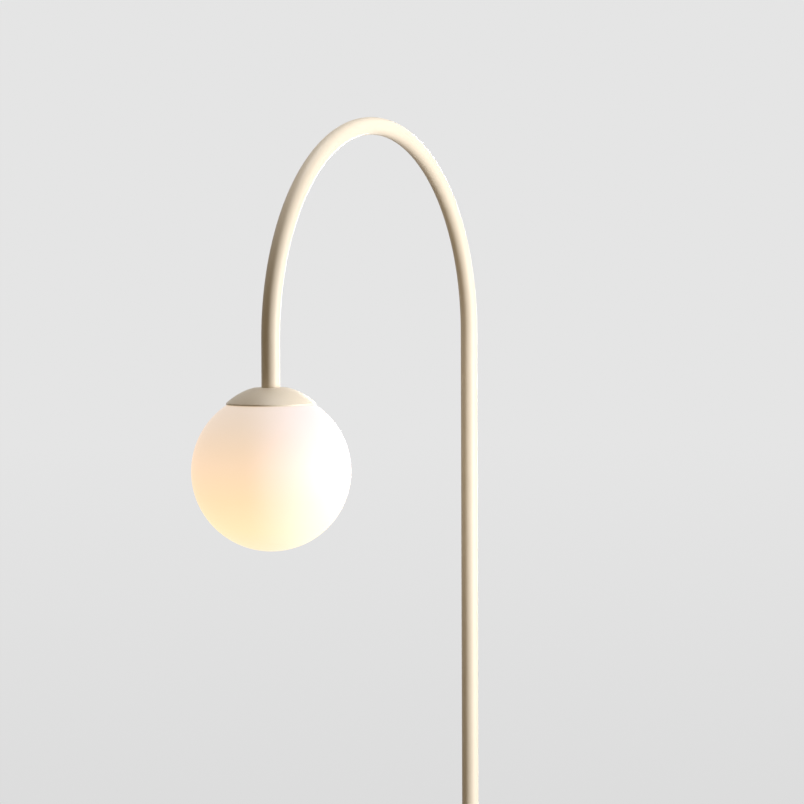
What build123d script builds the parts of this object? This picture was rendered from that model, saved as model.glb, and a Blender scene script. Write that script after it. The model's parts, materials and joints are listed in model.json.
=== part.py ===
from build123d import *
import os
from math import atan, cos, degrees, pi, sin, sqrt

# Arc floor lamp. Millimetres, +Z up. The origin is on the floor under the pole's axis, and the
# arch lies in the XZ plane with the globe towards -X, so the lamp mirrors about y = 0.

# ---- Driving dimensions ----
TOTAL_HEIGHT = 1500.0
ARCH_RADIUS = 250.0        # centreline of the half-circle
TUBE_R = 10.5
TUBE_WALL = 1.5
GLOBE_R = 90.0
GLASS_WALL = 3.0
GLOBE_DROP = 147.2         # from the arch's springline down to the globe's centre
CAP_TOP = 94.3             # heights of the head are counted from the globe's centre
CAP_DOME_R = 74.0
CAP_DOME_RISE = 22.8       # centre of the cap's dome
CAP_RIM_R = 50.2
CAP_WALL = 1.5
BASE_R = 140.0
BASE_TOP = 24.0

# ---- Worked out from them ----
SPRING_Z = TOTAL_HEIGHT - ARCH_RADIUS - TUBE_R
HEAD_X = -2 * ARCH_RADIUS
GLOBE_Z = SPRING_Z - GLOBE_DROP
BORE_R = TUBE_R - TUBE_WALL
ARM_END_Z = GLOBE_Z + CAP_TOP

FIT = 0.1                  # radial play of what is pushed together and then clamped
GAP = 0.3                  # play round what moves
OVERRUN = 1.0              # how far a cut runs past the face it opens through
LEAD_IN = 1.0              # chamfer on an end that is pushed into a bore

# ---- Base ----
FELT_R = 134.0
FELT_H = 2.0
COVER_WALL = 1.5
COVER_EDGE_R = 10.0        # outside rounding of the cover
COVER_FOOT_Z = 3.0
WEIGHT_R = 137.5
WEIGHT_TOP = BASE_TOP - COVER_WALL
WEIGHT_EDGE_R = 8.0
PLATE_R = 74.0
PLATE_H = 1.5
CHAMBER_Z = FELT_H + PLATE_H
CHAMBER_TOP = 15.0
WIRE_Z = 8.0
TRENCH_W = 20.0            # wiring trench from the terminal chamber to the switch
TRENCH_TOP = 11.0
CHAMBER_X0 = 27.0
CHAMBER_X1 = 66.0
CHAMBER_W = 38.0
CHAMBER_CORNER_R = 4.0
FLEX_WAY_X0 = -14.0        # from the chamber to under the pole
FLEX_WAY_X1 = 31.0
WEIGHT_BORE_R = 7.0        # for the flex, under the socket
FLANGE_R = 34.0
FLANGE_H = 4.0
SOCKET_H = 60.0
SOCKET_BORE_R = 5.5
BOLT_R = 3.0
BOLT_HEAD_R = 6.0
BOLT_HEAD_H = 3.3
BOLT_KEY_R = 2.2
BOLT_SHORTFALL = 0.5       # from the bolts' ends to the top of the socket's flange
BOLT_CIRCLE_R = 25.0
SCREW_R = 1.5
SCREW_HEAD_R = 3.0
SCREW_HEAD_H = 1.1
SCREW_KEY_R = 1.0
KEY_DEPTH = 0.6            # share of a head's height
PAN_HEAD_R = 2.6
PAN_HEAD_H = 1.6
PLATE_SCREW_CIRCLE_R = 67.0
PLATE_SCREW_L = 7.0
INLET_Z = 9.2
INLET_BORE_R = 3.6
INLET_NECK_R = 4.8
CORD_WAY_R = 4.2           # drilled through the weight from the bush to the chamber
INLET_FLANGE_R = 5.8
INLET_FLANGE_H = 2.5
INLET_DEPTH = 14.0
INLET_EDGE_R = 0.8
INLET_SPACE = 2.0          # behind the bush

# ---- Foot switch ----
BUTTON_X = -85.0
BUTTON_R = 15.3
BUTTON_TOP = 29.5
BUTTON_LIP_R = 17.7
BUTTON_LIP_Z = 19.4
BUTTON_LIP_H = 1.5
BUTTON_WALL = 2.5
BUTTON_EDGE_R = 1.8
RING_FLANGE_R = 23.5
RING_FLANGE_H = 2.5
RING_NECK_R = 19.4
RING_SKIRT = 2.0           # below the button's lip
RING_EDGE_R = 1.6
RING_MOUTH_R = 0.5         # rounding of its inner edge
RING_NUT_H = 3.0
RING_NUT_SIDES = 12
SWITCH_POCKET_R = 24.0
SWITCH_FLOOR = 6.0
SWITCH_TOP = 15.0
SWITCH_EAR_Y = 16.0
EAR_SCREW_GRIP = 2.5       # into the weight
SPRING_COIL_R = 8.6
SPRING_WIRE_R = 0.65
SPRING_TURNS = 4.5

# ---- Stem ----
JOINT_Z = 560.0            # where the lower pole meets the arch tube
COUPLER_REACH = 40.0       # into each tube
COUPLER_BORE_R = 6.0
COUPLER_SCREWS = (0.3, 0.75)  # shares of the reach into the upper tube
GRUB_R = 2.5
GRUB_L = 4.0
GRUB_HEAD_H = 1.5          # the part that the key enters
GRUB_KEY_R = 1.3
GRUB_INSET = 1.9           # of that part's foot from the tube's surface
POLE_GRUB_Z = 32.0
COLLAR_R = 15.5
COLLAR_H = 16.0
COLLAR_EDGE_R = 2.5
FLEX_R = 2.7
FLEX_BEND_R = 16.0
FLEX_END = 4.0             # above the lampholder's contact block

# ---- Head, heights from the globe's centre ----
NECK_R = 42.0              # opening of the glass
NIPPLE_R = 5.0
NIPPLE_BORE_R = 3.6
NIPPLE_FOOT = 76.0
NIPPLE_REACH = 18.0        # into the arm's bush
NIPPLE_CHAMFER = 0.5
NIPPLE_PLAY = 0.15         # radial, in the plain holes it passes
THREAD_PLAY = 0.05         # radial, in the pieces screwed onto it
ARM_BUSH_L = 22.0
ARM_BUSH_TAPER = 2.0
WASHER_R = 9.0
WASHER_T = 1.0
TOOTH_L = 2.0
TOOTH_W = 1.2
TEETH = 12
NUT_ACROSS_FLATS = 14.0
CARRIER_TOP = 87.0
CARRIER_H = 1.5
CARRIER_R = 31.0
CARRIER_HOLE_R = 5.0
CARRIER_HOLE_CIRCLE_R = 23.0
CLIP_W = 10.0
CLIP_T = 0.5
RIVET_CIRCLE_R = 25.0
RIVET_R = 1.6
RIVET_HEAD_R = 2.6
RIVET_HEAD_H = 0.9
GLASS_EDGE_R = 1.1
SEAL_PLAY = 0.05
HOLDER_TOP = CARRIER_TOP - CARRIER_H
HOLDER_R = 20.5
HOLDER_WALL = 2.0
HOLDER_NECK_R = 13.0
HOLDER_SHOULDER = 9.0      # height of the cap's sloping shoulder
HOLDER_TAPER = 1.5         # by which the body narrows to its foot
HOLDER_LIP_PLAY = 1.2
HOLDER_LIP_H = 3.0
HOLDER_EDGE_R = 1.0
HOLDER_SPLIT = 57.0        # where the holder's cap screws onto its body
HOLDER_FOOT = 31.0
BLOCK_TOP = 66.0
THREAD_R = 13.3            # inside of the holder's threaded shell
THREAD_SHELL_T = 0.7
THREAD_SHELL_INSET = 2.0   # above the body's foot
THREAD_FLANGE_W = 3.0
THREAD_FLANGE_T = 1.0
TERMINAL_X = 10.0
HOLDER_SCREW_L = 5.0
CONTACT_R = 4.5
CONTACT_TIP_R = 2.5
CONTACT_T = 0.6
CONTACT_DROP = 1.1
BULB_TIP_TOP = 56.5
BULB_TIP_R = 4.6
BULB_TIP_H = 1.9
BULB_TIP_SLOPE = 1.3
INSULATOR_TOP_R = 5.4
INSULATOR_R = 10.4
INSULATOR_RIM_H = 1.2
SHELL_DROP = 6.0           # from the tip to the screw shell's top
SHELL_SHOULDER = 2.0
SHELL_WALL = 0.5
BULB_SHELL_R = 13.0
BULB_R = 30.0
BULB_CENTRE = -21.5
BULB_RIM_R = 27.4
BULB_WALL = 1.2
BULB_NECK_Z = 30.4         # height at which the bulb's housing begins

os.makedirs("parts", exist_ok=True)


def save(piece, label):
    """Name a finished piece and write it to its own file."""
    piece.part.label = label
    export_step(piece.part, f"parts/{label}.step")


def upright(x, z=0.0):
    """Vertical sketch plane at y = 0: its x is the distance from the axis, its y the height."""
    return Plane(origin=(x, 0, z), x_dir=(1, 0, 0), z_dir=(0, -1, 0))


def turned(x, z, *outline):
    """A turned piece about the vertical axis at x, from an outline of (radius, height) points."""
    with BuildPart() as piece:
        with BuildSketch(upright(x, z)):
            with BuildLine():
                Polyline(*outline, close=True)
            make_face()
        revolve(axis=Axis((x, 0, 0), (0, 0, 1)))
    return piece


def ring_of(count, radius, start, x=0.0, y=0.0):
    """Points evenly spaced on a circle, the first at start degrees."""
    turns = [start * pi / 180 + 2 * pi * n / count for n in range(count)]
    return [(x + radius * cos(turn), y + radius * sin(turn)) for turn in turns]


def dome_point(radius, rise, r):
    """Point at distance r from the axis on a circle of this radius centred on the axis."""
    return (r, rise + sqrt(radius**2 - r**2))


def dome_arc(radius, rise, r_from, r_to):
    """Arc between two distances from the axis on the upper half of such a circle."""
    stops = [r_from, (r_from + r_to) / 2, r_to]
    return ThreePointArc(*[dome_point(radius, rise, r) for r in stops])


def fasteners(seats, shank_r, length, head_r, head_h, key_r, countersunk=False):
    """Identical screws. Each seat is the plane under the head, its normal out of the head."""
    slope = degrees(atan((head_r - shank_r) / head_h)) if countersunk else 0
    with BuildPart() as group:
        for seat in seats:
            with BuildSketch(seat):
                Circle(shank_r if countersunk else head_r)
            extrude(amount=head_h, taper=-slope)
            with BuildSketch(seat):
                Circle(shank_r)
            extrude(amount=-length)
            with BuildSketch(seat.offset(head_h)):
                RegularPolygon(key_r, 6)
            extrude(amount=-KEY_DEPTH * head_h, mode=Mode.SUBTRACT)
    return group


def facing_down(x, y, z):
    """Plane at a point whose normal points at the floor."""
    return Plane(origin=(x, y, z), x_dir=(1, 0, 0), z_dir=(0, 0, -1))


# ================= Base =================

with BuildPart() as base_felt:
    with BuildSketch():
        Circle(FELT_R)
    extrude(amount=FELT_H)
save(base_felt, "base_felt")

plate_screw_places = ring_of(4, PLATE_SCREW_CIRCLE_R, 45)
bolt_places = ring_of(4, BOLT_CIRCLE_R, 45)

# Closure plate, recessed into the underside of the weight.
with BuildPart() as bottom_plate:
    with BuildSketch(Plane.XY.offset(FELT_H)):
        Circle(PLATE_R)
    extrude(amount=PLATE_H)
    with Locations(*[facing_down(x, y, FELT_H) for x, y in plate_screw_places]):
        CounterSinkHole(SCREW_R + FIT, SCREW_HEAD_R + FIT, depth=PLATE_H)
save(bottom_plate, "bottom_plate")

plate_screws = fasteners(
    [facing_down(x, y, FELT_H + SCREW_HEAD_H) for x, y in plate_screw_places],
    SCREW_R, PLATE_SCREW_L, SCREW_HEAD_R, SCREW_HEAD_H, SCREW_KEY_R, countersunk=True,
)
save(plate_screws, "plate_screws")

trench_x0 = BUTTON_X + SWITCH_POCKET_R / 2

# Cast weight: chamber and trench for the wiring below, seats for the socket and switch above.
with BuildPart() as base_weight:
    with BuildSketch(Plane.XY.offset(FELT_H)):
        Circle(WEIGHT_R)
    extrude(amount=WEIGHT_TOP - FELT_H)
    fillet(base_weight.edges().filter_by(GeomType.CIRCLE).sort_by(Axis.Z)[-1], WEIGHT_EDGE_R)
    chamfer(base_weight.edges().filter_by(GeomType.CIRCLE).sort_by(Axis.Z)[0], LEAD_IN)
    with BuildSketch(Plane.XY.offset(FELT_H)):
        Circle(PLATE_R + FIT)
    extrude(amount=PLATE_H, mode=Mode.SUBTRACT)
    with BuildSketch(Plane.XY.offset(CHAMBER_Z)):
        with Locations(((CHAMBER_X0 + CHAMBER_X1) / 2, 0)):
            RectangleRounded(CHAMBER_X1 - CHAMBER_X0, CHAMBER_W, CHAMBER_CORNER_R)
        with Locations(((FLEX_WAY_X0 + FLEX_WAY_X1) / 2, 0)):
            Rectangle(FLEX_WAY_X1 - FLEX_WAY_X0, TRENCH_W)
    extrude(amount=CHAMBER_TOP - CHAMBER_Z, mode=Mode.SUBTRACT)
    with BuildSketch(Plane.XY.offset(CHAMBER_Z)):
        with Locations((trench_x0 / 2, 0)):
            Rectangle(-trench_x0, TRENCH_W)
    extrude(amount=TRENCH_TOP - CHAMBER_Z, mode=Mode.SUBTRACT)
    with BuildSketch(Plane.XY.offset(CHAMBER_TOP)):
        Circle(WEIGHT_BORE_R)
    extrude(amount=WEIGHT_TOP - CHAMBER_TOP, mode=Mode.SUBTRACT)
    with BuildSketch(Plane.XY.offset(WEIGHT_TOP)):
        Circle(FLANGE_R + FIT)
    extrude(amount=-FLANGE_H, mode=Mode.SUBTRACT)
    with BuildSketch(Plane.XY.offset(WEIGHT_TOP)):
        with Locations((BUTTON_X, 0)):
            Circle(SWITCH_POCKET_R)
    extrude(amount=SWITCH_FLOOR - WEIGHT_TOP, mode=Mode.SUBTRACT)
    with BuildSketch(Plane.XY.offset(SWITCH_FLOOR)):
        with Locations((BUTTON_X, SWITCH_EAR_Y), (BUTTON_X, -SWITCH_EAR_Y)):
            Circle(SCREW_R + FIT)
    extrude(amount=-EAR_SCREW_GRIP - OVERRUN, mode=Mode.SUBTRACT)
    with BuildSketch(Plane.YZ.offset(CHAMBER_X1 - OVERRUN)):
        with Locations((0, INLET_Z)):
            Circle(CORD_WAY_R)
    extrude(amount=WEIGHT_R, mode=Mode.SUBTRACT)
    with BuildSketch(Plane.YZ.offset(BASE_R - INLET_DEPTH - INLET_SPACE)):
        with Locations((0, INLET_Z)):
            Circle(INLET_NECK_R + GAP)
    extrude(amount=WEIGHT_R, mode=Mode.SUBTRACT)
    with Locations(*[facing_down(x, y, CHAMBER_Z) for x, y in bolt_places]):
        CounterSinkHole(BOLT_R + FIT, BOLT_HEAD_R + FIT)
    with BuildSketch(Plane.XY.offset(CHAMBER_Z)):
        with Locations(*plate_screw_places):
            Circle(SCREW_R + FIT)
    extrude(amount=PLATE_SCREW_L, mode=Mode.SUBTRACT)
save(base_weight, "base_weight")

# Spun steel cover with a rounded edge.
with BuildPart() as base_cover:
    with BuildSketch(upright(0)):
        with BuildLine():
            edge_x = BASE_R - COVER_EDGE_R
            edge_z = BASE_TOP - COVER_EDGE_R
            inner_edge_r = COVER_EDGE_R - COVER_WALL
            Line((TUBE_R + GAP, BASE_TOP), (edge_x, BASE_TOP))
            CenterArc((edge_x, edge_z), COVER_EDGE_R, 0, 90)
            Line((BASE_R, edge_z), (BASE_R, COVER_FOOT_Z))
            Line((BASE_R, COVER_FOOT_Z), (BASE_R - COVER_WALL, COVER_FOOT_Z))
            Line((BASE_R - COVER_WALL, COVER_FOOT_Z), (BASE_R - COVER_WALL, edge_z))
            CenterArc((edge_x, edge_z), inner_edge_r, 0, 90)
            Line((edge_x, WEIGHT_TOP), (TUBE_R + GAP, WEIGHT_TOP))
            Line((TUBE_R + GAP, WEIGHT_TOP), (TUBE_R + GAP, BASE_TOP))
        make_face()
    revolve(axis=Axis.Z)
    with BuildSketch(Plane.XY.offset(BASE_TOP)):
        with Locations((BUTTON_X, 0)):
            Circle(RING_NECK_R + FIT)
    extrude(amount=-COVER_WALL, mode=Mode.SUBTRACT)
    with BuildSketch(Plane.YZ.offset(WEIGHT_R)):
        with Locations((0, INLET_Z)):
            Circle(INLET_NECK_R + FIT)
    extrude(amount=2 * COVER_WALL + GAP, mode=Mode.SUBTRACT)
save(base_cover, "base_cover")

# Flanged socket that carries the pole.
with BuildPart() as base_socket:
    with BuildSketch(Plane.XY.offset(WEIGHT_TOP - FLANGE_H)):
        Circle(FLANGE_R)
    extrude(amount=FLANGE_H)
    with BuildSketch(Plane.XY.offset(WEIGHT_TOP)):
        Circle(BORE_R - FIT)
    extrude(amount=SOCKET_H)
    chamfer(base_socket.edges().filter_by(GeomType.CIRCLE).sort_by(Axis.Z)[-1], LEAD_IN)
    with BuildSketch(Plane.XY.offset(WEIGHT_TOP - FLANGE_H)):
        Circle(SOCKET_BORE_R)
        with Locations(*bolt_places):
            Circle(BOLT_R + FIT)
    extrude(amount=SOCKET_H + FLANGE_H, mode=Mode.SUBTRACT)
    with BuildSketch(Plane.XZ):
        with Locations((0, POLE_GRUB_Z)):
            Circle(GRUB_R + FIT)
    extrude(amount=2 * BORE_R, both=True, mode=Mode.SUBTRACT)
save(base_socket, "base_socket")

bolt_seat_z = CHAMBER_Z + BOLT_HEAD_H
bolt_length = WEIGHT_TOP - BOLT_SHORTFALL - bolt_seat_z
base_bolts = fasteners(
    [facing_down(x, y, bolt_seat_z) for x, y in bolt_places],
    BOLT_R, bolt_length, BOLT_HEAD_R, BOLT_HEAD_H, BOLT_KEY_R, countersunk=True,
)
save(base_bolts, "base_bolts")

# Rubber bush that lines the cord's way into the base.
with BuildPart() as cord_bush:
    with BuildSketch(Plane.YZ.offset(BASE_R)):
        with Locations((0, INLET_Z)):
            Circle(INLET_FLANGE_R)
    extrude(amount=INLET_FLANGE_H)
    fillet(cord_bush.edges().filter_by(GeomType.CIRCLE).sort_by(Axis.X)[-1], INLET_EDGE_R)
    with BuildSketch(Plane.YZ.offset(BASE_R)):
        with Locations((0, INLET_Z)):
            Circle(INLET_NECK_R)
    extrude(amount=-INLET_DEPTH)
    with BuildSketch(Plane.YZ.offset(BASE_R - INLET_DEPTH)):
        with Locations((0, INLET_Z)):
            Circle(INLET_BORE_R)
    extrude(amount=INLET_DEPTH + INLET_FLANGE_H, mode=Mode.SUBTRACT)
save(cord_bush, "cord_bush")

# Three-way terminal block fixed to the chamber's ceiling, its clamp screws reached from below.
BLOCK_X0 = 34.0
BLOCK_L = 24.0
BLOCK_W = 26.0
BLOCK_Z0 = 4.5
POLE_PITCH = 8.0
INSERT_R = 2.6
INSERT_BORE_R = 1.9
INSERT_INSET = 2.0         # of the inserts' ends from the block's
BLOCK_CORNER_R = 1.5
CLAMP_R = 1.5
CLAMP_L = 1.4
CLAMP_HEAD_H = 1.2
CLAMP_KEY_R = 0.8
CLAMP_INSET = 1.0
block_x = BLOCK_X0 + BLOCK_L / 2
pole_ys = [-POLE_PITCH, 0, POLE_PITCH]
clamp_places = [(block_x + side * BLOCK_L / 4, y) for side in (-1, 1) for y in pole_ys]

with BuildPart() as terminal_block:
    with BuildSketch(Plane.XY.offset(BLOCK_Z0)):
        with Locations((block_x, 0)):
            RectangleRounded(BLOCK_L, BLOCK_W, BLOCK_CORNER_R)
    extrude(amount=CHAMBER_TOP - BLOCK_Z0)
    with BuildSketch(Plane.YZ.offset(BLOCK_X0)):
        with Locations(*[(y, WIRE_Z) for y in pole_ys]):
            Circle(INSERT_R + FIT)
    extrude(amount=BLOCK_L, mode=Mode.SUBTRACT)
    with BuildSketch(Plane.XY.offset(BLOCK_Z0)):
        with Locations(*clamp_places):
            Circle(CLAMP_R + 2 * FIT)
    extrude(amount=WIRE_Z - BLOCK_Z0, mode=Mode.SUBTRACT)
save(terminal_block, "terminal_block")

with BuildPart() as terminal_inserts:
    with BuildSketch(Plane.YZ.offset(BLOCK_X0 + INSERT_INSET)):
        with Locations(*[(y, WIRE_Z) for y in pole_ys]):
            Circle(INSERT_R)
            Circle(INSERT_BORE_R, mode=Mode.SUBTRACT)
    extrude(amount=BLOCK_L - 2 * INSERT_INSET)
    with BuildSketch(Plane.XY.offset(BLOCK_Z0)):
        with Locations(*clamp_places):
            Circle(CLAMP_R + FIT)
    extrude(amount=WIRE_Z - BLOCK_Z0, mode=Mode.SUBTRACT)
save(terminal_inserts, "terminal_inserts")

terminal_screws = fasteners(
    [facing_down(x, y, BLOCK_Z0 + CLAMP_INSET) for x, y in clamp_places],
    CLAMP_R, CLAMP_L, CLAMP_R, CLAMP_HEAD_H, CLAMP_KEY_R,
)
save(terminal_screws, "terminal_screws")

# ================= Foot switch =================

# Push-switch body on the pocket's floor, held by two ears.
SWITCH_L = 26.0
SWITCH_W = 22.0
EAR_H = 2.0
EAR_W = 8.0
SWITCH_CORNER_R = 2.0
PLUNGER_R = 2.6
PLUNGER_WELL = 7.0         # depth of the hole that the plunger moves in

with BuildPart() as switch_body:
    with BuildSketch(Plane.XY.offset(SWITCH_FLOOR)):
        with Locations((BUTTON_X, 0)):
            RectangleRounded(SWITCH_L, SWITCH_W, SWITCH_CORNER_R)
    extrude(amount=SWITCH_TOP - SWITCH_FLOOR)
    with BuildSketch(Plane.XY.offset(SWITCH_FLOOR)):
        with Locations((BUTTON_X, 0)):
            SlotOverall(2 * SWITCH_EAR_Y + EAR_W, EAR_W, rotation=90)
        with Locations((BUTTON_X, SWITCH_EAR_Y), (BUTTON_X, -SWITCH_EAR_Y)):
            Circle(SCREW_R + FIT, mode=Mode.SUBTRACT)
    extrude(amount=EAR_H)
    with BuildSketch(Plane.XY.offset(SWITCH_TOP)):
        with Locations((BUTTON_X, 0)):
            Circle(PLUNGER_R + 2 * GAP)
    extrude(amount=-PLUNGER_WELL, mode=Mode.SUBTRACT)
save(switch_body, "switch_body")

switch_screws = fasteners(
    [Plane.XY.offset(SWITCH_FLOOR + EAR_H).move(Location((BUTTON_X, side * SWITCH_EAR_Y, 0)))
     for side in (-1, 1)],
    SCREW_R, EAR_H + EAR_SCREW_GRIP, PAN_HEAD_R, PAN_HEAD_H, SCREW_KEY_R,
)
save(switch_screws, "switch_screws")

# Feed and return lead of the switch, lying straight in the trench.
LEAD_R = 1.3
with BuildPart() as switch_leads:
    with BuildSketch(Plane.YZ.offset(BUTTON_X + SWITCH_L / 2)):
        with Locations((-POLE_PITCH, WIRE_Z), (POLE_PITCH, WIRE_Z)):
            Circle(LEAD_R)
    extrude(amount=BLOCK_X0 - BUTTON_X - SWITCH_L / 2)
save(switch_leads, "switch_leads")

# Ring through the cover: its lip keeps the button in.
ring_foot = BUTTON_LIP_Z - RING_SKIRT
lip_top = BUTTON_LIP_Z + BUTTON_LIP_H
with BuildPart() as button_ring:
    with BuildSketch(upright(BUTTON_X)):
        with BuildLine():
            Polyline(
                (BUTTON_R + GAP, BASE_TOP + RING_FLANGE_H),
                (RING_FLANGE_R, BASE_TOP + RING_FLANGE_H),
                (RING_FLANGE_R, BASE_TOP),
                (RING_NECK_R, BASE_TOP),
                (RING_NECK_R, ring_foot),
                (BUTTON_LIP_R + GAP, ring_foot),
                (BUTTON_LIP_R + GAP, lip_top + FIT),
                (BUTTON_R + GAP, lip_top + FIT),
                close=True,
            )
        make_face()
    revolve(axis=Axis((BUTTON_X, 0, 0), (0, 0, 1)))
    ring_edges = button_ring.edges().filter_by(GeomType.CIRCLE).group_by(Axis.Z)[-1]
    fillet(ring_edges.sort_by(SortBy.RADIUS)[-1], RING_EDGE_R)
    fillet(ring_edges.sort_by(SortBy.RADIUS)[0], RING_MOUTH_R)
save(button_ring, "button_ring")

with BuildPart() as ring_nut:
    with BuildSketch(Plane.XY.offset(WEIGHT_TOP - RING_NUT_H)):
        with Locations((BUTTON_X, 0)):
            RegularPolygon(SWITCH_POCKET_R - 2 * GAP, RING_NUT_SIDES)
            Circle(RING_NECK_R + FIT, mode=Mode.SUBTRACT)
    extrude(amount=RING_NUT_H)
save(ring_nut, "ring_nut")

# Button: hollow for its spring, with a plunger that reaches into the switch.
BUTTON_ROOF = 2.2
PLUNGER_FOOT = 12.5
with BuildPart() as foot_button:
    with BuildSketch(upright(BUTTON_X)):
        with BuildLine():
            Polyline(
                (0, BUTTON_TOP),
                (BUTTON_R, BUTTON_TOP),
                (BUTTON_R, lip_top),
                (BUTTON_LIP_R, lip_top),
                (BUTTON_LIP_R, BUTTON_LIP_Z),
                (BUTTON_R - BUTTON_WALL, BUTTON_LIP_Z),
                (BUTTON_R - BUTTON_WALL, BUTTON_TOP - BUTTON_ROOF),
                (PLUNGER_R, BUTTON_TOP - BUTTON_ROOF),
                (PLUNGER_R, PLUNGER_FOOT),
                (0, PLUNGER_FOOT),
                close=True,
            )
        make_face()
    revolve(axis=Axis((BUTTON_X, 0, 0), (0, 0, 1)))
    fillet(foot_button.edges().filter_by(GeomType.CIRCLE).sort_by(Axis.Z)[-1], BUTTON_EDGE_R)
save(foot_button, "foot_button")

spring_foot = SWITCH_TOP + SPRING_WIRE_R + FIT
spring_rise = BUTTON_TOP - BUTTON_ROOF - SWITCH_TOP - 2 * (SPRING_WIRE_R + FIT)
spring_pitch = spring_rise / SPRING_TURNS
with BuildPart() as button_spring:
    with BuildLine():
        coil = Helix(spring_pitch, spring_rise, SPRING_COIL_R, center=(BUTTON_X, 0, spring_foot))
    with BuildSketch(Plane(origin=coil @ 0, z_dir=coil % 0)):
        Circle(SPRING_WIRE_R)
    sweep(is_frenet=True)
save(button_spring, "button_spring")

# ================= Stem =================

with BuildPart() as pole_collar:
    with BuildSketch(Plane.XY.offset(BASE_TOP)):
        Circle(COLLAR_R)
        Circle(TUBE_R + FIT, mode=Mode.SUBTRACT)
    extrude(amount=COLLAR_H)
    collar_top = pole_collar.edges().filter_by(GeomType.CIRCLE).group_by(Axis.Z)[-1]
    fillet(collar_top.sort_by(SortBy.RADIUS)[-1], COLLAR_EDGE_R)
save(pole_collar, "pole_collar")

with BuildPart() as lower_pole:
    with BuildSketch(Plane.XY.offset(WEIGHT_TOP)):
        Circle(TUBE_R)
        Circle(BORE_R, mode=Mode.SUBTRACT)
    extrude(amount=JOINT_Z - WEIGHT_TOP)
    with BuildSketch(Plane.XZ):
        with Locations((0, POLE_GRUB_Z)):
            Circle(GRUB_R + FIT)
    extrude(amount=2 * TUBE_R, both=True, mode=Mode.SUBTRACT)
save(lower_pole, "lower_pole")

# Grub screws under the collar, one from each side, clamp the pole to its socket.
pole_screws = fasteners(
    [Plane(origin=(0, side * (TUBE_R - GRUB_INSET), POLE_GRUB_Z), z_dir=(0, side, 0)) for side in (-1, 1)],
    GRUB_R, GRUB_L - GRUB_HEAD_H, GRUB_R, GRUB_HEAD_H, GRUB_KEY_R,
)
save(pole_screws, "pole_screws")

coupler_screw_zs = [JOINT_Z + COUPLER_REACH * share for share in COUPLER_SCREWS]
with BuildPart() as pole_coupler:
    with BuildSketch(Plane.XY.offset(JOINT_Z - COUPLER_REACH)):
        Circle(BORE_R - FIT)
        Circle(COUPLER_BORE_R, mode=Mode.SUBTRACT)
    extrude(amount=2 * COUPLER_REACH)
    coupler_ends = pole_coupler.edges().filter_by(GeomType.CIRCLE).group_by(Axis.Z)
    chamfer([coupler_ends[end].sort_by(SortBy.RADIUS)[-1] for end in (0, -1)], LEAD_IN)
    with BuildSketch(Plane.YZ):
        with Locations(*[(0, z) for z in coupler_screw_zs]):
            Circle(GRUB_R + FIT)
    extrude(amount=TUBE_R, mode=Mode.SUBTRACT)
save(pole_coupler, "pole_coupler")

coupler_screws = fasteners(
    [Plane(origin=(TUBE_R - GRUB_INSET, 0, z), z_dir=(1, 0, 0)) for z in coupler_screw_zs],
    GRUB_R, GRUB_L - GRUB_HEAD_H, GRUB_R, GRUB_HEAD_H, GRUB_KEY_R,
)
save(coupler_screws, "coupler_screws")

# Upper pole, half-circle and short arm, bent from one tube.
with BuildPart() as arch_tube:
    with BuildLine():
        Line((0, 0, JOINT_Z), (0, 0, SPRING_Z))
        ThreePointArc((0, 0, SPRING_Z), (-ARCH_RADIUS, 0, SPRING_Z + ARCH_RADIUS), (HEAD_X, 0, SPRING_Z))
        Line((HEAD_X, 0, SPRING_Z), (HEAD_X, 0, ARM_END_Z))
    with BuildSketch(Plane.XY.offset(JOINT_Z)):
        Circle(TUBE_R)
        Circle(BORE_R, mode=Mode.SUBTRACT)
    sweep()
    with BuildSketch(Plane.YZ):
        with Locations(*[(0, z) for z in coupler_screw_zs]):
            Circle(GRUB_R + FIT)
    extrude(amount=2 * TUBE_R, mode=Mode.SUBTRACT)
save(arch_tube, "arch_tube")

# Flex from the terminal block up the pole, round the arch and down into the lampholder.
bend_mid = FLEX_BEND_R * (1 - sqrt(0.5))
flex_end_z = GLOBE_Z + BLOCK_TOP + FLEX_END
with BuildPart() as inner_flex:
    with BuildLine():
        Line((BLOCK_X0, 0, WIRE_Z), (FLEX_BEND_R, 0, WIRE_Z))
        ThreePointArc(
            (FLEX_BEND_R, 0, WIRE_Z), (bend_mid, 0, WIRE_Z + bend_mid), (0, 0, WIRE_Z + FLEX_BEND_R)
        )
        Line((0, 0, WIRE_Z + FLEX_BEND_R), (0, 0, SPRING_Z))
        ThreePointArc((0, 0, SPRING_Z), (-ARCH_RADIUS, 0, SPRING_Z + ARCH_RADIUS), (HEAD_X, 0, SPRING_Z))
        Line((HEAD_X, 0, SPRING_Z), (HEAD_X, 0, flex_end_z))
    with BuildSketch(Plane.YZ.offset(BLOCK_X0)):
        with Locations((0, WIRE_Z)):
            Circle(FLEX_R)
    sweep()
save(inner_flex, "inner_flex")

# ================= Head =================

arm_bush = turned(
    HEAD_X, GLOBE_Z,
    (NIPPLE_R + THREAD_PLAY, CAP_TOP),
    (BORE_R - FIT, CAP_TOP),
    (BORE_R - FIT, CAP_TOP + ARM_BUSH_L - ARM_BUSH_TAPER),
    (BORE_R - ARM_BUSH_TAPER, CAP_TOP + ARM_BUSH_L),
    (NIPPLE_R + THREAD_PLAY, CAP_TOP + ARM_BUSH_L),
)
save(arm_bush, "arm_bush")

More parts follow.
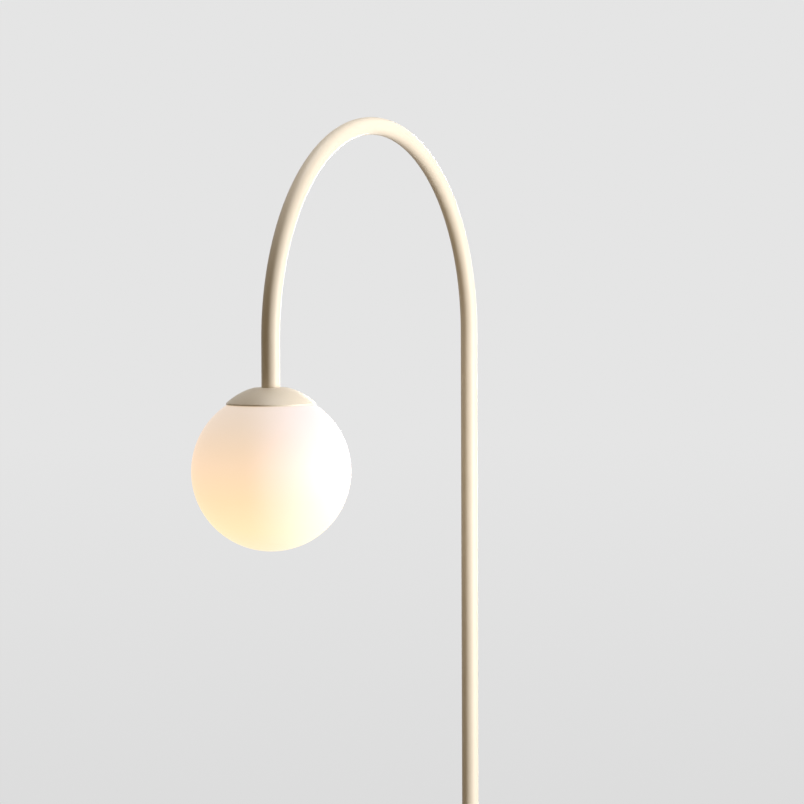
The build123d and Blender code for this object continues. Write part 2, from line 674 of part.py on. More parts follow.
nipple = turned(
    HEAD_X, GLOBE_Z,
    (NIPPLE_BORE_R, NIPPLE_FOOT),
    (NIPPLE_R - NIPPLE_CHAMFER, NIPPLE_FOOT),
    (NIPPLE_R, NIPPLE_FOOT + NIPPLE_CHAMFER),
    (NIPPLE_R, CAP_TOP + NIPPLE_REACH - NIPPLE_CHAMFER),
    (NIPPLE_R - NIPPLE_CHAMFER, CAP_TOP + NIPPLE_REACH),
    (NIPPLE_BORE_R, CAP_TOP + NIPPLE_REACH),
)
save(nipple, "nipple")

# Spun cap: flat top, dome, and a short straight lip over the glass.
inner_dome_r = CAP_DOME_R - CAP_WALL
outer_flat_r = sqrt(CAP_DOME_R**2 - (CAP_TOP - CAP_DOME_RISE) ** 2)
inner_flat_r = sqrt(inner_dome_r**2 - (CAP_TOP - CAP_WALL - CAP_DOME_RISE) ** 2)
rim_z = dome_point(CAP_DOME_R, CAP_DOME_RISE, CAP_RIM_R)[1]
inner_rim_r = CAP_RIM_R - CAP_WALL
inner_rim_z = dome_point(inner_dome_r, CAP_DOME_RISE, inner_rim_r)[1]
lip_foot = GLOBE_R + GAP   # the lip's edge follows the glass at this radius
nipple_hole_r = NIPPLE_R + NIPPLE_PLAY
with BuildPart() as globe_cap:
    with BuildSketch(upright(HEAD_X, GLOBE_Z)):
        with BuildLine():
            Line((nipple_hole_r, CAP_TOP), (outer_flat_r, CAP_TOP))
            dome_arc(CAP_DOME_R, CAP_DOME_RISE, outer_flat_r, CAP_RIM_R)
            Line((CAP_RIM_R, rim_z), dome_point(lip_foot, 0, CAP_RIM_R))
            dome_arc(lip_foot, 0, CAP_RIM_R, inner_rim_r)
            Line(dome_point(lip_foot, 0, inner_rim_r), (inner_rim_r, inner_rim_z))
            dome_arc(inner_dome_r, CAP_DOME_RISE, inner_rim_r, inner_flat_r)
            Line((inner_flat_r, CAP_TOP - CAP_WALL), (nipple_hole_r, CAP_TOP - CAP_WALL))
            Line((nipple_hole_r, CAP_TOP - CAP_WALL), (nipple_hole_r, CAP_TOP))
        make_face()
    revolve(axis=Axis((HEAD_X, 0, 0), (0, 0, 1)))
save(globe_cap, "globe_cap")

# Toothed washer and lock nut that clamp the cap to the arm.
washer_z = GLOBE_Z + CAP_TOP - CAP_WALL - WASHER_T
with BuildPart() as toothed_washer:
    with BuildSketch(Plane.XY.offset(washer_z)):
        with Locations((HEAD_X, 0)):
            Circle(WASHER_R)
            Circle(nipple_hole_r, mode=Mode.SUBTRACT)
            with PolarLocations(WASHER_R, TEETH):
                Rectangle(TOOTH_L, TOOTH_W, mode=Mode.SUBTRACT)
    extrude(amount=WASHER_T)
save(toothed_washer, "toothed_washer")

nut_foot_z = GLOBE_Z + CARRIER_TOP
with BuildPart() as lock_nut:
    with BuildSketch(Plane.XY.offset(nut_foot_z)):
        with Locations((HEAD_X, 0)):
            RegularPolygon(NUT_ACROSS_FLATS / 2, 6, major_radius=False)
            Circle(NIPPLE_R + THREAD_PLAY, mode=Mode.SUBTRACT)
    extrude(amount=washer_z - nut_foot_z)
save(lock_nut, "lock_nut")

# Plate under the lock nut that carries the three globe clips.
rivet_places = ring_of(3, RIVET_CIRCLE_R, 0, HEAD_X)
with BuildPart() as clip_carrier:
    with BuildSketch(Plane.XY.offset(GLOBE_Z + HOLDER_TOP)):
        with Locations((HEAD_X, 0)):
            Circle(CARRIER_R)
            Circle(nipple_hole_r, mode=Mode.SUBTRACT)
            with PolarLocations(CARRIER_HOLE_CIRCLE_R, 3, start_angle=60):
                Circle(CARRIER_HOLE_R, mode=Mode.SUBTRACT)
        with Locations(*rivet_places):
            Circle(RIVET_R + FIT, mode=Mode.SUBTRACT)
    extrude(amount=CARRIER_H)
save(clip_carrier, "clip_carrier")

# One leaf clip about the Z axis: flat under the carrier, down through the neck, a bulge that bears
# under the glass's edge, and a foot bent in to lead the glass on.
clip_top = HOLDER_TOP - CLIP_T
CLIP_BEND_R = 1.5
with BuildPart() as clip_leaf:
    with BuildSketch(upright(0, GLOBE_Z)):
        with BuildLine():
            leaf = FilletPolyline(
                (17.0, clip_top), (31.5, clip_top), (40.4, 79.0), (40.9, 76.0), (44.0, 71.0), (39.0, 63.0),
                radius=CLIP_BEND_R,
            )
            offset(leaf, amount=CLIP_T, side=Side.LEFT)
        make_face()
    extrude(amount=CLIP_W / 2, both=True)
    with BuildSketch(Plane.XY.offset(GLOBE_Z + HOLDER_TOP)):
        with Locations((RIVET_CIRCLE_R, 0)):
            Circle(RIVET_R + FIT)
    extrude(amount=-2 * CLIP_T, mode=Mode.SUBTRACT)

with BuildPart() as spring_clips:
    with Locations((HEAD_X, 0, 0)):
        with PolarLocations(0, 3):
            add(clip_leaf.part)
save(spring_clips, "spring_clips")

# Each rivet is a lower head, a shank and an upper head.
rivet_steps = [
    (clip_top - RIVET_HEAD_H, clip_top, RIVET_HEAD_R),
    (clip_top, CARRIER_TOP, RIVET_R),
    (CARRIER_TOP, CARRIER_TOP + RIVET_HEAD_H, RIVET_HEAD_R),
]
with BuildPart() as clip_rivets:
    for foot, top, radius in rivet_steps:
        with BuildSketch(Plane.XY.offset(GLOBE_Z + foot)):
            with Locations(*rivet_places):
                Circle(radius)
        extrude(amount=top - foot)
save(clip_rivets, "clip_rivets")

# Soft ring in the cap's rim that the glass comes up against.
SEAL_R0 = 44.5
SEAL_R1 = 48.0
seal_under = lip_foot + SEAL_PLAY
seal_over = inner_dome_r - SEAL_PLAY
with BuildPart() as neck_gasket:
    with BuildSketch(upright(HEAD_X, GLOBE_Z)):
        with BuildLine():
            dome_arc(seal_over, CAP_DOME_RISE, SEAL_R0, SEAL_R1)
            Line(dome_point(seal_over, CAP_DOME_RISE, SEAL_R1), dome_point(seal_under, 0, SEAL_R1))
            dome_arc(seal_under, 0, SEAL_R1, SEAL_R0)
            Line(dome_point(seal_under, 0, SEAL_R0), dome_point(seal_over, CAP_DOME_RISE, SEAL_R0))
        make_face()
    revolve(axis=Axis((HEAD_X, 0, 0), (0, 0, 1)))
save(neck_gasket, "neck_gasket")

# Opal glass globe, open at the neck.
glass_in_r = GLOBE_R - GLASS_WALL
with BuildPart() as glass_globe:
    with BuildSketch(upright(HEAD_X, GLOBE_Z)):
        with BuildLine():
            ThreePointArc(dome_point(GLOBE_R, 0, NECK_R), (GLOBE_R, 0), (0, -GLOBE_R))
            Line((0, -GLOBE_R), (0, -glass_in_r))
            ThreePointArc((0, -glass_in_r), (glass_in_r, 0), dome_point(glass_in_r, 0, NECK_R))
            Line(dome_point(glass_in_r, 0, NECK_R), dome_point(GLOBE_R, 0, NECK_R))
        make_face()
    revolve(axis=Axis((HEAD_X, 0, 0), (0, 0, 1)))
    fillet(glass_globe.edges().filter_by(GeomType.CIRCLE).group_by(Axis.Z)[-2:], GLASS_EDGE_R)
save(glass_globe, "glass_globe")

# ---- Lampholder ----
holder_cap = turned(
    HEAD_X, GLOBE_Z,
    (nipple_hole_r, HOLDER_TOP),
    (HOLDER_NECK_R, HOLDER_TOP),
    (HOLDER_R, HOLDER_TOP - HOLDER_SHOULDER),
    (HOLDER_R, HOLDER_SPLIT),
    (HOLDER_R - HOLDER_WALL, HOLDER_SPLIT),
    (HOLDER_R - HOLDER_WALL, HOLDER_TOP - HOLDER_SHOULDER - HOLDER_WALL / 2),
    (HOLDER_NECK_R - HOLDER_WALL / 2, HOLDER_TOP - HOLDER_WALL),
    (nipple_hole_r, HOLDER_TOP - HOLDER_WALL),
)
save(holder_cap, "holder_cap")

holder_foot_r = HOLDER_R - HOLDER_TAPER
with BuildPart() as holder_body:
    with BuildSketch(upright(HEAD_X, GLOBE_Z)):
        with BuildLine():
            Polyline(
                (HOLDER_R, HOLDER_SPLIT),
                (holder_foot_r, HOLDER_FOOT),
                (THREAD_R + HOLDER_LIP_PLAY, HOLDER_FOOT),
                (THREAD_R + HOLDER_LIP_PLAY, HOLDER_FOOT + HOLDER_LIP_H),
                (holder_foot_r - HOLDER_WALL, HOLDER_FOOT + 2 * HOLDER_LIP_H),
                (HOLDER_R - HOLDER_WALL, HOLDER_SPLIT),
                close=True,
            )
        make_face()
    revolve(axis=Axis((HEAD_X, 0, 0), (0, 0, 1)))
    holder_foot_edges = holder_body.edges().filter_by(GeomType.CIRCLE).group_by(Axis.Z)[0]
    fillet(holder_foot_edges.sort_by(SortBy.RADIUS)[-1], HOLDER_EDGE_R)
save(holder_body, "holder_body")

# Contact block with two blind holes for its terminal screws.
terminal_places = [(HEAD_X - TERMINAL_X, 0), (HEAD_X + TERMINAL_X, 0)]
block_foot = HOLDER_SPLIT + THREAD_FLANGE_T
with BuildPart() as holder_block:
    with BuildSketch(Plane.XY.offset(GLOBE_Z + block_foot)):
        with Locations((HEAD_X, 0)):
            Circle(HOLDER_R - HOLDER_WALL - GAP)
    extrude(amount=BLOCK_TOP - block_foot)
    with BuildSketch(Plane.XY.offset(GLOBE_Z + BLOCK_TOP)):
        with Locations(*terminal_places):
            Circle(SCREW_R + FIT)
    extrude(amount=-HOLDER_SCREW_L - 2 * FIT, mode=Mode.SUBTRACT)
save(holder_block, "holder_block")

holder_screws = fasteners(
    [Plane(origin=(x, y, GLOBE_Z + BLOCK_TOP), z_dir=(0, 0, 1)) for x, y in terminal_places],
    SCREW_R, HOLDER_SCREW_L, PAN_HEAD_R, PAN_HEAD_H, SCREW_KEY_R,
)
save(holder_screws, "holder_screws")

holder_shell = turned(
    HEAD_X, GLOBE_Z,
    (THREAD_R, HOLDER_FOOT + THREAD_SHELL_INSET),
    (THREAD_R + THREAD_SHELL_T, HOLDER_FOOT + THREAD_SHELL_INSET),
    (THREAD_R + THREAD_SHELL_T, HOLDER_SPLIT),
    (THREAD_R + THREAD_FLANGE_W, HOLDER_SPLIT),
    (THREAD_R + THREAD_FLANGE_W, block_foot),
    (THREAD_R, block_foot),
)
save(holder_shell, "holder_shell")

centre_contact = turned(
    HEAD_X, GLOBE_Z,
    (0, block_foot),
    (CONTACT_R, block_foot),
    (CONTACT_R, block_foot - CONTACT_T),
    (CONTACT_TIP_R, block_foot - CONTACT_DROP),
    (0, block_foot - CONTACT_DROP),
)
save(centre_contact, "centre_contact")

# ---- Bulb ----
bulb_contact = turned(
    HEAD_X, GLOBE_Z,
    (0, BULB_TIP_TOP),
    (BULB_TIP_R - BULB_TIP_SLOPE, BULB_TIP_TOP),
    (BULB_TIP_R, BULB_TIP_TOP - BULB_TIP_SLOPE),
    (BULB_TIP_R, BULB_TIP_TOP - BULB_TIP_H),
    (0, BULB_TIP_TOP - BULB_TIP_H),
)
save(bulb_contact, "bulb_contact")

insulator_top = BULB_TIP_TOP - BULB_TIP_H - GAP
shell_top = BULB_TIP_TOP - SHELL_DROP
bulb_insulator = turned(
    HEAD_X, GLOBE_Z,
    (0, insulator_top),
    (INSULATOR_TOP_R, insulator_top),
    (INSULATOR_R, shell_top),
    (INSULATOR_R, shell_top - INSULATOR_RIM_H),
    (0, shell_top - INSULATOR_RIM_H),
)
save(bulb_insulator, "bulb_insulator")

bulb_screw_shell = turned(
    HEAD_X, GLOBE_Z,
    (BULB_SHELL_R, BULB_NECK_Z),
    (BULB_SHELL_R, shell_top - SHELL_SHOULDER),
    (BULB_SHELL_R - SHELL_SHOULDER, shell_top),
    (BULB_SHELL_R - SHELL_SHOULDER - SHELL_WALL, shell_top),
    (BULB_SHELL_R - SHELL_WALL, shell_top - SHELL_SHOULDER),
    (BULB_SHELL_R - SHELL_WALL, BULB_NECK_Z),
)
save(bulb_screw_shell, "bulb_screw_shell")

# Housing: spigot in the screw shell, a flared body, and a floor that carries the LED board.
dome_rim_z = BULB_CENTRE + sqrt(BULB_R**2 - BULB_RIM_R**2)
HOUSING_FLOOR = 2.0
HOUSING_BORE_R = 11.5
HOUSING_NECK_R = BULB_SHELL_R + 0.6
SPIGOT_R = BULB_SHELL_R - SHELL_WALL - FIT
SPIGOT_TOP = BULB_NECK_Z + 8.0
FLARE_OUTSIDE = (18.4, 13.4)   # middle of the flare
FLARE_INSIDE = (16.6, 14.0)
neck_out = (HOUSING_NECK_R, BULB_NECK_Z - 0.4)
floor_in = (BULB_RIM_R - 3.4, dome_rim_z + HOUSING_FLOOR)
with BuildPart() as bulb_housing:
    with BuildSketch(upright(HEAD_X, GLOBE_Z)):
        with BuildLine():
            Polyline((BULB_RIM_R, dome_rim_z), (0, dome_rim_z), (0, dome_rim_z + HOUSING_FLOOR), floor_in)
            ThreePointArc(floor_in, FLARE_INSIDE, (HOUSING_BORE_R, BULB_NECK_Z))
            Polyline(
                (HOUSING_BORE_R, BULB_NECK_Z),
                (HOUSING_BORE_R, SPIGOT_TOP),
                (SPIGOT_R, SPIGOT_TOP),
                (SPIGOT_R, BULB_NECK_Z),
                neck_out,
            )
            ThreePointArc(neck_out, FLARE_OUTSIDE, (BULB_RIM_R, dome_rim_z))
        make_face()
    revolve(axis=Axis((HEAD_X, 0, 0), (0, 0, 1)))
save(bulb_housing, "bulb_housing")

# Diffusing dome of the bulb, a thin shell under the housing's rim.
dome_in_r = BULB_R - BULB_WALL
dome_rim = (BULB_RIM_R, dome_rim_z)
dome_in_rim = (sqrt(dome_in_r**2 - (dome_rim_z - BULB_CENTRE) ** 2), dome_rim_z)
dome_foot = (0, BULB_CENTRE - BULB_R)
dome_in_foot = (0, BULB_CENTRE - dome_in_r)
with BuildPart() as bulb_dome:
    with BuildSketch(upright(HEAD_X, GLOBE_Z)):
        with BuildLine():
            ThreePointArc(dome_rim, (BULB_R, BULB_CENTRE), dome_foot)
            Line(dome_foot, dome_in_foot)
            ThreePointArc(dome_in_foot, (dome_in_r, BULB_CENTRE), dome_in_rim)
            Line(dome_in_rim, dome_rim)
        make_face()
    revolve(axis=Axis((HEAD_X, 0, 0), (0, 0, 1)))
save(bulb_dome, "bulb_dome")

LED_BOARD_R = 23.0
LED_BOARD_H = 1.6
CHIP_CIRCLE_R = 15.0
CHIP_W = 3.0
CHIP_H = 0.8
board_z = GLOBE_Z + dome_rim_z - LED_BOARD_H
with BuildPart() as led_board:
    with BuildSketch(Plane.XY.offset(board_z)):
        with Locations((HEAD_X, 0)):
            Circle(LED_BOARD_R)
    extrude(amount=LED_BOARD_H)
save(led_board, "led_board")

with BuildPart() as led_chips:
    with BuildSketch(Plane.XY.offset(board_z)):
        with Locations((HEAD_X, 0)):
            with PolarLocations(CHIP_CIRCLE_R, 8):
                Rectangle(CHIP_W, CHIP_W)
    extrude(amount=-CHIP_H)
save(led_chips, "led_chips")

DRIVER_W = 20.0
DRIVER_T = 1.6
driver_foot = dome_rim_z + HOUSING_FLOOR + 0.5
driver_top = BULB_NECK_Z - 6.0
with BuildPart() as driver_board:
    with BuildSketch(Plane.XZ):
        with Locations((HEAD_X, GLOBE_Z + (driver_foot + driver_top) / 2)):
            Rectangle(DRIVER_W, driver_top - driver_foot)
    extrude(amount=DRIVER_T / 2, both=True)
save(driver_board, "driver_board")
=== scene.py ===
import json
import math

import bmesh
import bpy
from mathutils import Matrix, Vector


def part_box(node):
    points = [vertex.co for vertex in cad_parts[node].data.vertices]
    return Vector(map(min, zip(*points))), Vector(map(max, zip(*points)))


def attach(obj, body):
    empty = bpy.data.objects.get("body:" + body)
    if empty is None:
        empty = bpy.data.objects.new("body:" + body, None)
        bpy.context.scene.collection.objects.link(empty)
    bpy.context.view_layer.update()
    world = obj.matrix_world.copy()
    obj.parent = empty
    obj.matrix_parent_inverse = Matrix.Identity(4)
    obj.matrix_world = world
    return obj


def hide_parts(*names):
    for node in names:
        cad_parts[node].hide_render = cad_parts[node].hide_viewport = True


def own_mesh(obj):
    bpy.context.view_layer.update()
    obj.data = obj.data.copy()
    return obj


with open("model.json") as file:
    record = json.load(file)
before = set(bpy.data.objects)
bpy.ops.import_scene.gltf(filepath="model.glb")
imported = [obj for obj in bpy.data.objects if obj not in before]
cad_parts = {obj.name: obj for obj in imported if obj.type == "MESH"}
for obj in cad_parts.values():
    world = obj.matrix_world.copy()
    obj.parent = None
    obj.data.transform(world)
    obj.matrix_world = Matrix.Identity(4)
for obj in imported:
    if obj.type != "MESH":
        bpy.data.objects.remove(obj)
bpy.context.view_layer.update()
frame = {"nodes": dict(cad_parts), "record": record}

# Looks of the arc floor lamp. Metres, +Z up, in the CAD's frame: the pole stands on the Z axis,
# the arch lies in the XZ plane and the globe hangs towards -X.

MM = 0.001
UP = Vector((0, 0, 1))

# ---- Dimensions, most of them read from the frame ----
arch_lo, arch_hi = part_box("arch_tube")
TUBE_R = arch_hi.y
ARCH_R = (arch_hi.x - arch_lo.x) / 2 - TUBE_R
ARCH_FOOT_Z = arch_hi.z - TUBE_R - ARCH_R
JOINT_Z = arch_lo.z
POLE_FOOT_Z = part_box("lower_pole")[0].z
TUBE_WALL = 1.5 * MM
TUBE_EDGE_R = 0.35 * MM
HOLE_PLAY = 0.1 * MM

cap_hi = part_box("globe_cap")[1]
HEAD = (-2 * ARCH_R, 0.0)
CAP_TOP = cap_hi.z
CAP_R = cap_hi.x - HEAD[0]

glass_lo, glass_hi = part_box("glass_globe")
GLOBE_R = (glass_hi.x - glass_lo.x) / 2
GLOBE_Z = glass_lo.z + GLOBE_R
NECK_Z = glass_hi.z
GLASS_WALL = 3.0 * MM

cover_lo, cover_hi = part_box("base_cover")
COVER_R = cover_hi.y
COVER_TOP = cover_hi.z
COVER_WALL = 1.5 * MM

button_lo, button_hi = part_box("foot_button")
BUTTON = ((button_lo.x + button_hi.x) / 2, 0.0)
ring_lo, ring_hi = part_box("button_ring")


# ================= Mesh helpers =================

SHARP_ANGLE = 40.0         # degrees between two faces from which their edge stays sharp
CORNER_ANGLE = 25.0        # degrees of turn from which an outline's corner is rounded
CORNER_SHARE = 0.45        # most of a side's length that one rounded corner takes
WELD = 3e-6                # metres within which the points that a cut leaves become one
SAME_POINT = 1e-7          # metres within which two points are one
ON_AXIS = 1e-6             # metres from the axis within which a point is on it


def shade(mesh, sharp=SHARP_ANGLE):
    """Smooth shading with sharp edges."""
    for face in mesh.polygons:
        face.use_smooth = True
    mesh.set_sharp_from_angle(angle=math.radians(sharp))


def make_object(name, verts, faces, sharp=SHARP_ANGLE):
    """A smooth-shaded mesh object whose edges over this many degrees stay sharp."""
    mesh = bpy.data.meshes.new(name)
    mesh.from_pydata(verts, [], faces)
    work = bmesh.new()
    work.from_mesh(mesh)
    bmesh.ops.remove_doubles(work, verts=work.verts, dist=SAME_POINT)
    bmesh.ops.recalc_face_normals(work, faces=work.faces)
    work.to_mesh(mesh)
    work.free()
    shade(mesh, sharp)
    obj = bpy.data.objects.new(name, mesh)
    bpy.context.collection.objects.link(obj)
    return obj


def rounded(outline, radius, steps=4):
    """A closed outline with each real corner off the axis turned into a small curve."""
    result = []
    count = len(outline)
    for index, here in enumerate(outline):
        here = Vector(here)
        before = Vector(outline[index - 1]) - here
        after = Vector(outline[(index + 1) % count]) - here
        if here.x < ON_AXIS or before.length < SAME_POINT or after.length < SAME_POINT:
            result.append(tuple(here))
            continue
        turn = math.pi - before.angle(after)
        if turn < math.radians(CORNER_ANGLE):
            result.append(tuple(here))
            continue
        reach = min(radius * math.tan(turn / 2), CORNER_SHARE * before.length, CORNER_SHARE * after.length)
        start = here + before.normalized() * reach
        end = here + after.normalized() * reach
        for step in range(steps + 1):
            share = step / steps
            first = start.lerp(here, share)
            second = here.lerp(end, share)
            result.append(tuple(first.lerp(second, share)))
    return result


def ring_faces(rows, columns, closed_rows):
    """Quads between rings of points, each ring closed on itself."""
    faces = []
    for row in range(rows if closed_rows else rows - 1):
        following = (row + 1) % rows
        for column in range(columns):
            right = (column + 1) % columns
            faces.append((
                row * columns + column, row * columns + right,
                following * columns + right, following * columns + column,
            ))
    return faces


def lathe(name, outline, at=(0.0, 0.0), steps=128, place=None):
    """A turned solid about the vertical at this point, from a closed outline of (radius, height) points.
    The matrix place, where given, then moves it."""
    verts = []
    for r, z in outline:
        for step in range(steps):
            turn = 2 * math.pi * step / steps
            verts.append(Vector((at[0] + r * math.cos(turn), at[1] + r * math.sin(turn), z)))
    if place is not None:
        verts = [place @ v for v in verts]
    return make_object(name, verts, ring_faces(len(outline), steps, True))


def corner_arc(centre, radius, start, end, steps):
    """Points of an arc in the outline plane, by angle in degrees from the horizontal."""
    angles = [math.radians(start + (end - start) * i / steps) for i in range(steps + 1)]
    return [(centre[0] + radius * math.cos(a), centre[1] + radius * math.sin(a)) for a in angles]


def arc(centre_height, radius, start, end, steps):
    """An arc whose centre is on the axis."""
    return corner_arc((0.0, centre_height), radius, start, end, steps)


def tube_along(name, path, length, stations, radius, wall, edge, steps):
    """A hollow tube in the XZ plane: path(s) gives the point and direction at that distance. Its ends are
    rounded off."""
    side = Vector((0, 1, 0))
    outer = [(s, radius) for s in stations]
    inner = [(s, radius - wall) for s in reversed(stations)]
    outline = rounded(outer + inner, edge, 3)
    verts = []
    for s, r in outline:
        centre, along = path(min(max(s, 0.0), length))
        out = side.cross(along).normalized()
        for step in range(steps):
            turn = 2 * math.pi * step / steps
            verts.append(centre + r * (math.cos(turn) * out + math.sin(turn) * side))
    return make_object(name, verts, ring_faces(len(outline), steps, True))


def cut(obj, cutters):
    """Takes the cutters' shapes out of a piece, for its holes, mends the tiny gaps and slivers that this
    leaves, and removes the cutters."""
    for cutter in cutters:
        change = obj.modifiers.new("hole", "BOOLEAN")
        change.operation = "DIFFERENCE"
        change.solver = "EXACT"
        change.object = cutter
    evaluated = obj.evaluated_get(bpy.context.evaluated_depsgraph_get())
    mesh = bpy.data.meshes.new_from_object(evaluated)
    obj.modifiers.clear()
    obj.data = mesh
    work = bmesh.new()
    work.from_mesh(mesh)
    bmesh.ops.remove_doubles(work, verts=work.verts, dist=WELD)
    bmesh.ops.triangulate(work, faces=[f for f in work.faces if len(f.verts) > 4])
    bmesh.ops.dissolve_degenerate(work, edges=work.edges, dist=WELD)
    bmesh.ops.holes_fill(work, edges=[e for e in work.edges if e.is_boundary])
    work.to_mesh(mesh)
    work.free()
    shade(mesh)
    for cutter in cutters:
        bpy.data.objects.remove(cutter)


def rod(start, along, radius, length, steps=96):
    """A plain round cutter."""
    turn = UP.rotation_difference(Vector(along)).to_matrix().to_4x4()
    place = Matrix.Translation(start) @ turn
    outline = [(0.0, 0.0), (radius, 0.0), (radius, length), (0.0, length)]
    return lathe("cutter", outline, steps=steps, place=place)


def threaded(name, outline, pitch, at, zero, steps=120, sharp=50.0):
    """A turned shell with a rolled right-handed thread, from (radius, height, groove depth) points. zero is
    the height at which the thread's crest faces +X."""
    verts = []
    for r, z, depth in outline:
        for step in range(steps):
            turn = 2 * math.pi * step / steps
            groove = depth * (1 - math.cos(2 * math.pi * (z - zero) / pitch - turn)) / 2
            verts.append((at[0] + (r - groove) * math.cos(turn), at[1] + (r - groove) * math.sin(turn), z))
    return make_object(name, verts, ring_faces(len(outline), steps, True), sharp)


def joined(name, pieces):
    """One object made of several."""
    with bpy.context.temp_override(active_object=pieces[0], selected_editable_objects=pieces):
        bpy.ops.object.join()
    pieces[0].name = name
    return pieces[0]


def raised(outline, height):
    """An outline in millimetres from its own datum, as metres from the floor."""
    return [(r * MM, height + z * MM) for r, z in outline]


def coil(name, at, foot, top, coil_r, wire_r, turns, end_slope, steps=216, sides=16):
    """A compression spring of round wire between two heights. Its end turns keep this share of the even
    pitch."""
    verts = []
    for i in range(steps + 1):
        share = i / steps
        turn = 2 * math.pi * turns * share
        eased = end_slope * share + (1 - end_slope) * share * share * (3 - 2 * share)
        z = foot + wire_r + (top - foot - 2 * wire_r) * eased
        outward = Vector((math.cos(turn), math.sin(turn), 0))
        centre = Vector((*at, z)) + coil_r * outward
        for side in range(sides):
            around = 2 * math.pi * side / sides
            verts.append(centre + wire_r * (math.cos(around) * outward + math.sin(around) * UP))
    faces = ring_faces(steps + 1, sides, False)
    faces.append(tuple(range(sides)))
    faces.append(tuple(reversed(range(len(verts) - sides, len(verts)))))
    return make_object(name, verts, faces)


def finish_piece(obj, body, slot, *nodes):
    """Says what a piece rides on, which CAD nodes it stands for, and its material slot."""
    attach(obj, body)
    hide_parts(*nodes)
    obj.data.materials.clear()
    obj.data.materials.append(materials[slot])


# ================= Materials =================

def start_material(name):
    """An empty node material: returns it with its node tree, shader and object coordinates."""
    material = bpy.data.materials.new(name)
    material.use_nodes = True
    tree = material.node_tree
    shader = tree.nodes["Principled BSDF"]
    place = tree.nodes.new("ShaderNodeTexCoord").outputs["Object"]
    return material, tree, shader, place


def noise(tree, place, scale, detail):
    """Noise of this many features per metre."""
    texture = tree.nodes.new("ShaderNodeTexNoise")
    texture.inputs["Scale"].default_value = scale
    texture.inputs["Detail"].default_value = detail
    tree.links.new(place, texture.inputs["Vector"])
    return texture.outputs["Fac"]


def spread(tree, value, low, high, from_low=0.3, from_high=0.7):
    """Maps a value to a range. Most of a noise lies between the two default limits."""
    node = tree.nodes.new("ShaderNodeMapRange")
    node.inputs["From Min"].default_value = from_low
    node.inputs["From Max"].default_value = from_high
    node.inputs["To Min"].default_value = low
    node.inputs["To Max"].default_value = high
    tree.links.new(value, node.inputs["Value"])
    return node.outputs["Result"]


def blend_colours(tree, value, first, second):
    """A colour between two, by value."""
    node = tree.nodes.new("ShaderNodeMix")
    node.data_type = "RGBA"
    node.inputs["A"].default_value = (*first, 1)
    node.inputs["B"].default_value = (*second, 1)
    tree.links.new(value, node.inputs["Factor"])
    return node.outputs["Result"]


def bump(tree, shader, height, strength, distance):
    """Adds a bump under whatever bump the shader already has."""
    node = tree.nodes.new("ShaderNodeBump")
    node.inputs["Strength"].default_value = strength
    node.inputs["Distance"].default_value = distance
    tree.links.new(height, node.inputs["Height"])
    linked = shader.inputs["Normal"].links
    if linked:
        tree.links.new(linked[0].from_socket, node.inputs["Normal"])
    tree.links.new(node.outputs["Normal"], shader.inputs["Normal"])


def surface(name, light, dark, rough, metal, grain, mottle, relief, depth=0.1 * MM, specular=0.5, coat=0.0):
    """A material with mottled colour, uneven roughness and fine relief. rough is its lowest and highest
    roughness. grain and mottle are the features per metre of its relief and of its colour."""
    material, tree, shader, place = start_material(name)
    patches = noise(tree, place, mottle, 4.0)
    fine = noise(tree, place, grain, 4.0)
    tree.links.new(blend_colours(tree, spread(tree, patches, 0, 1), dark, light), shader.inputs["Base Color"])
    tree.links.new(spread(tree, fine, *rough), shader.inputs["Roughness"])
    bump(tree, shader, fine, relief, depth)
    shader.inputs["Metallic"].default_value = metal
    shader.inputs["Specular IOR Level"].default_value = specular
    shader.inputs["Coat Weight"].default_value = coat
    return material


# Light that comes through the opal glass, by share of the globe's height from its foot.
GLOW = [
    (0.0, (0.90, 0.78, 0.50)),
    (0.16, (0.94, 0.775, 0.45)),
    (0.34, (0.96, 0.71, 0.42)),
    (0.56, (0.895, 0.65, 0.435)),
    (0.80, (0.70, 0.545, 0.385)),
    (1.0, (0.58, 0.465, 0.33)),
]


def cream_paint():
    """Satin powder coat: faint orange peel, and a little more sheen where the film is smooth."""
    material, tree, shader, place = start_material("cream_paint")
    patches = noise(tree, place, 9.0, 3.0)
    peel = noise(tree, place, 420.0, 2.0)
    specks = noise(tree, place, 2600.0, 2.0)
    colour = blend_colours(tree, spread(tree, patches, 0, 1), (0.770, 0.690, 0.575), (0.800, 0.722, 0.610))
    tree.links.new(colour, shader.inputs["Base Color"])
    tree.links.new(spread(tree, peel, 0.40, 0.52), shader.inputs["Roughness"])
    bump(tree, shader, specks, 0.05, 0.05 * MM)
    bump(tree, shader, peel, 0.16, 0.12 * MM)
    shader.inputs["Specular IOR Level"].default_value = 0.4
    return material


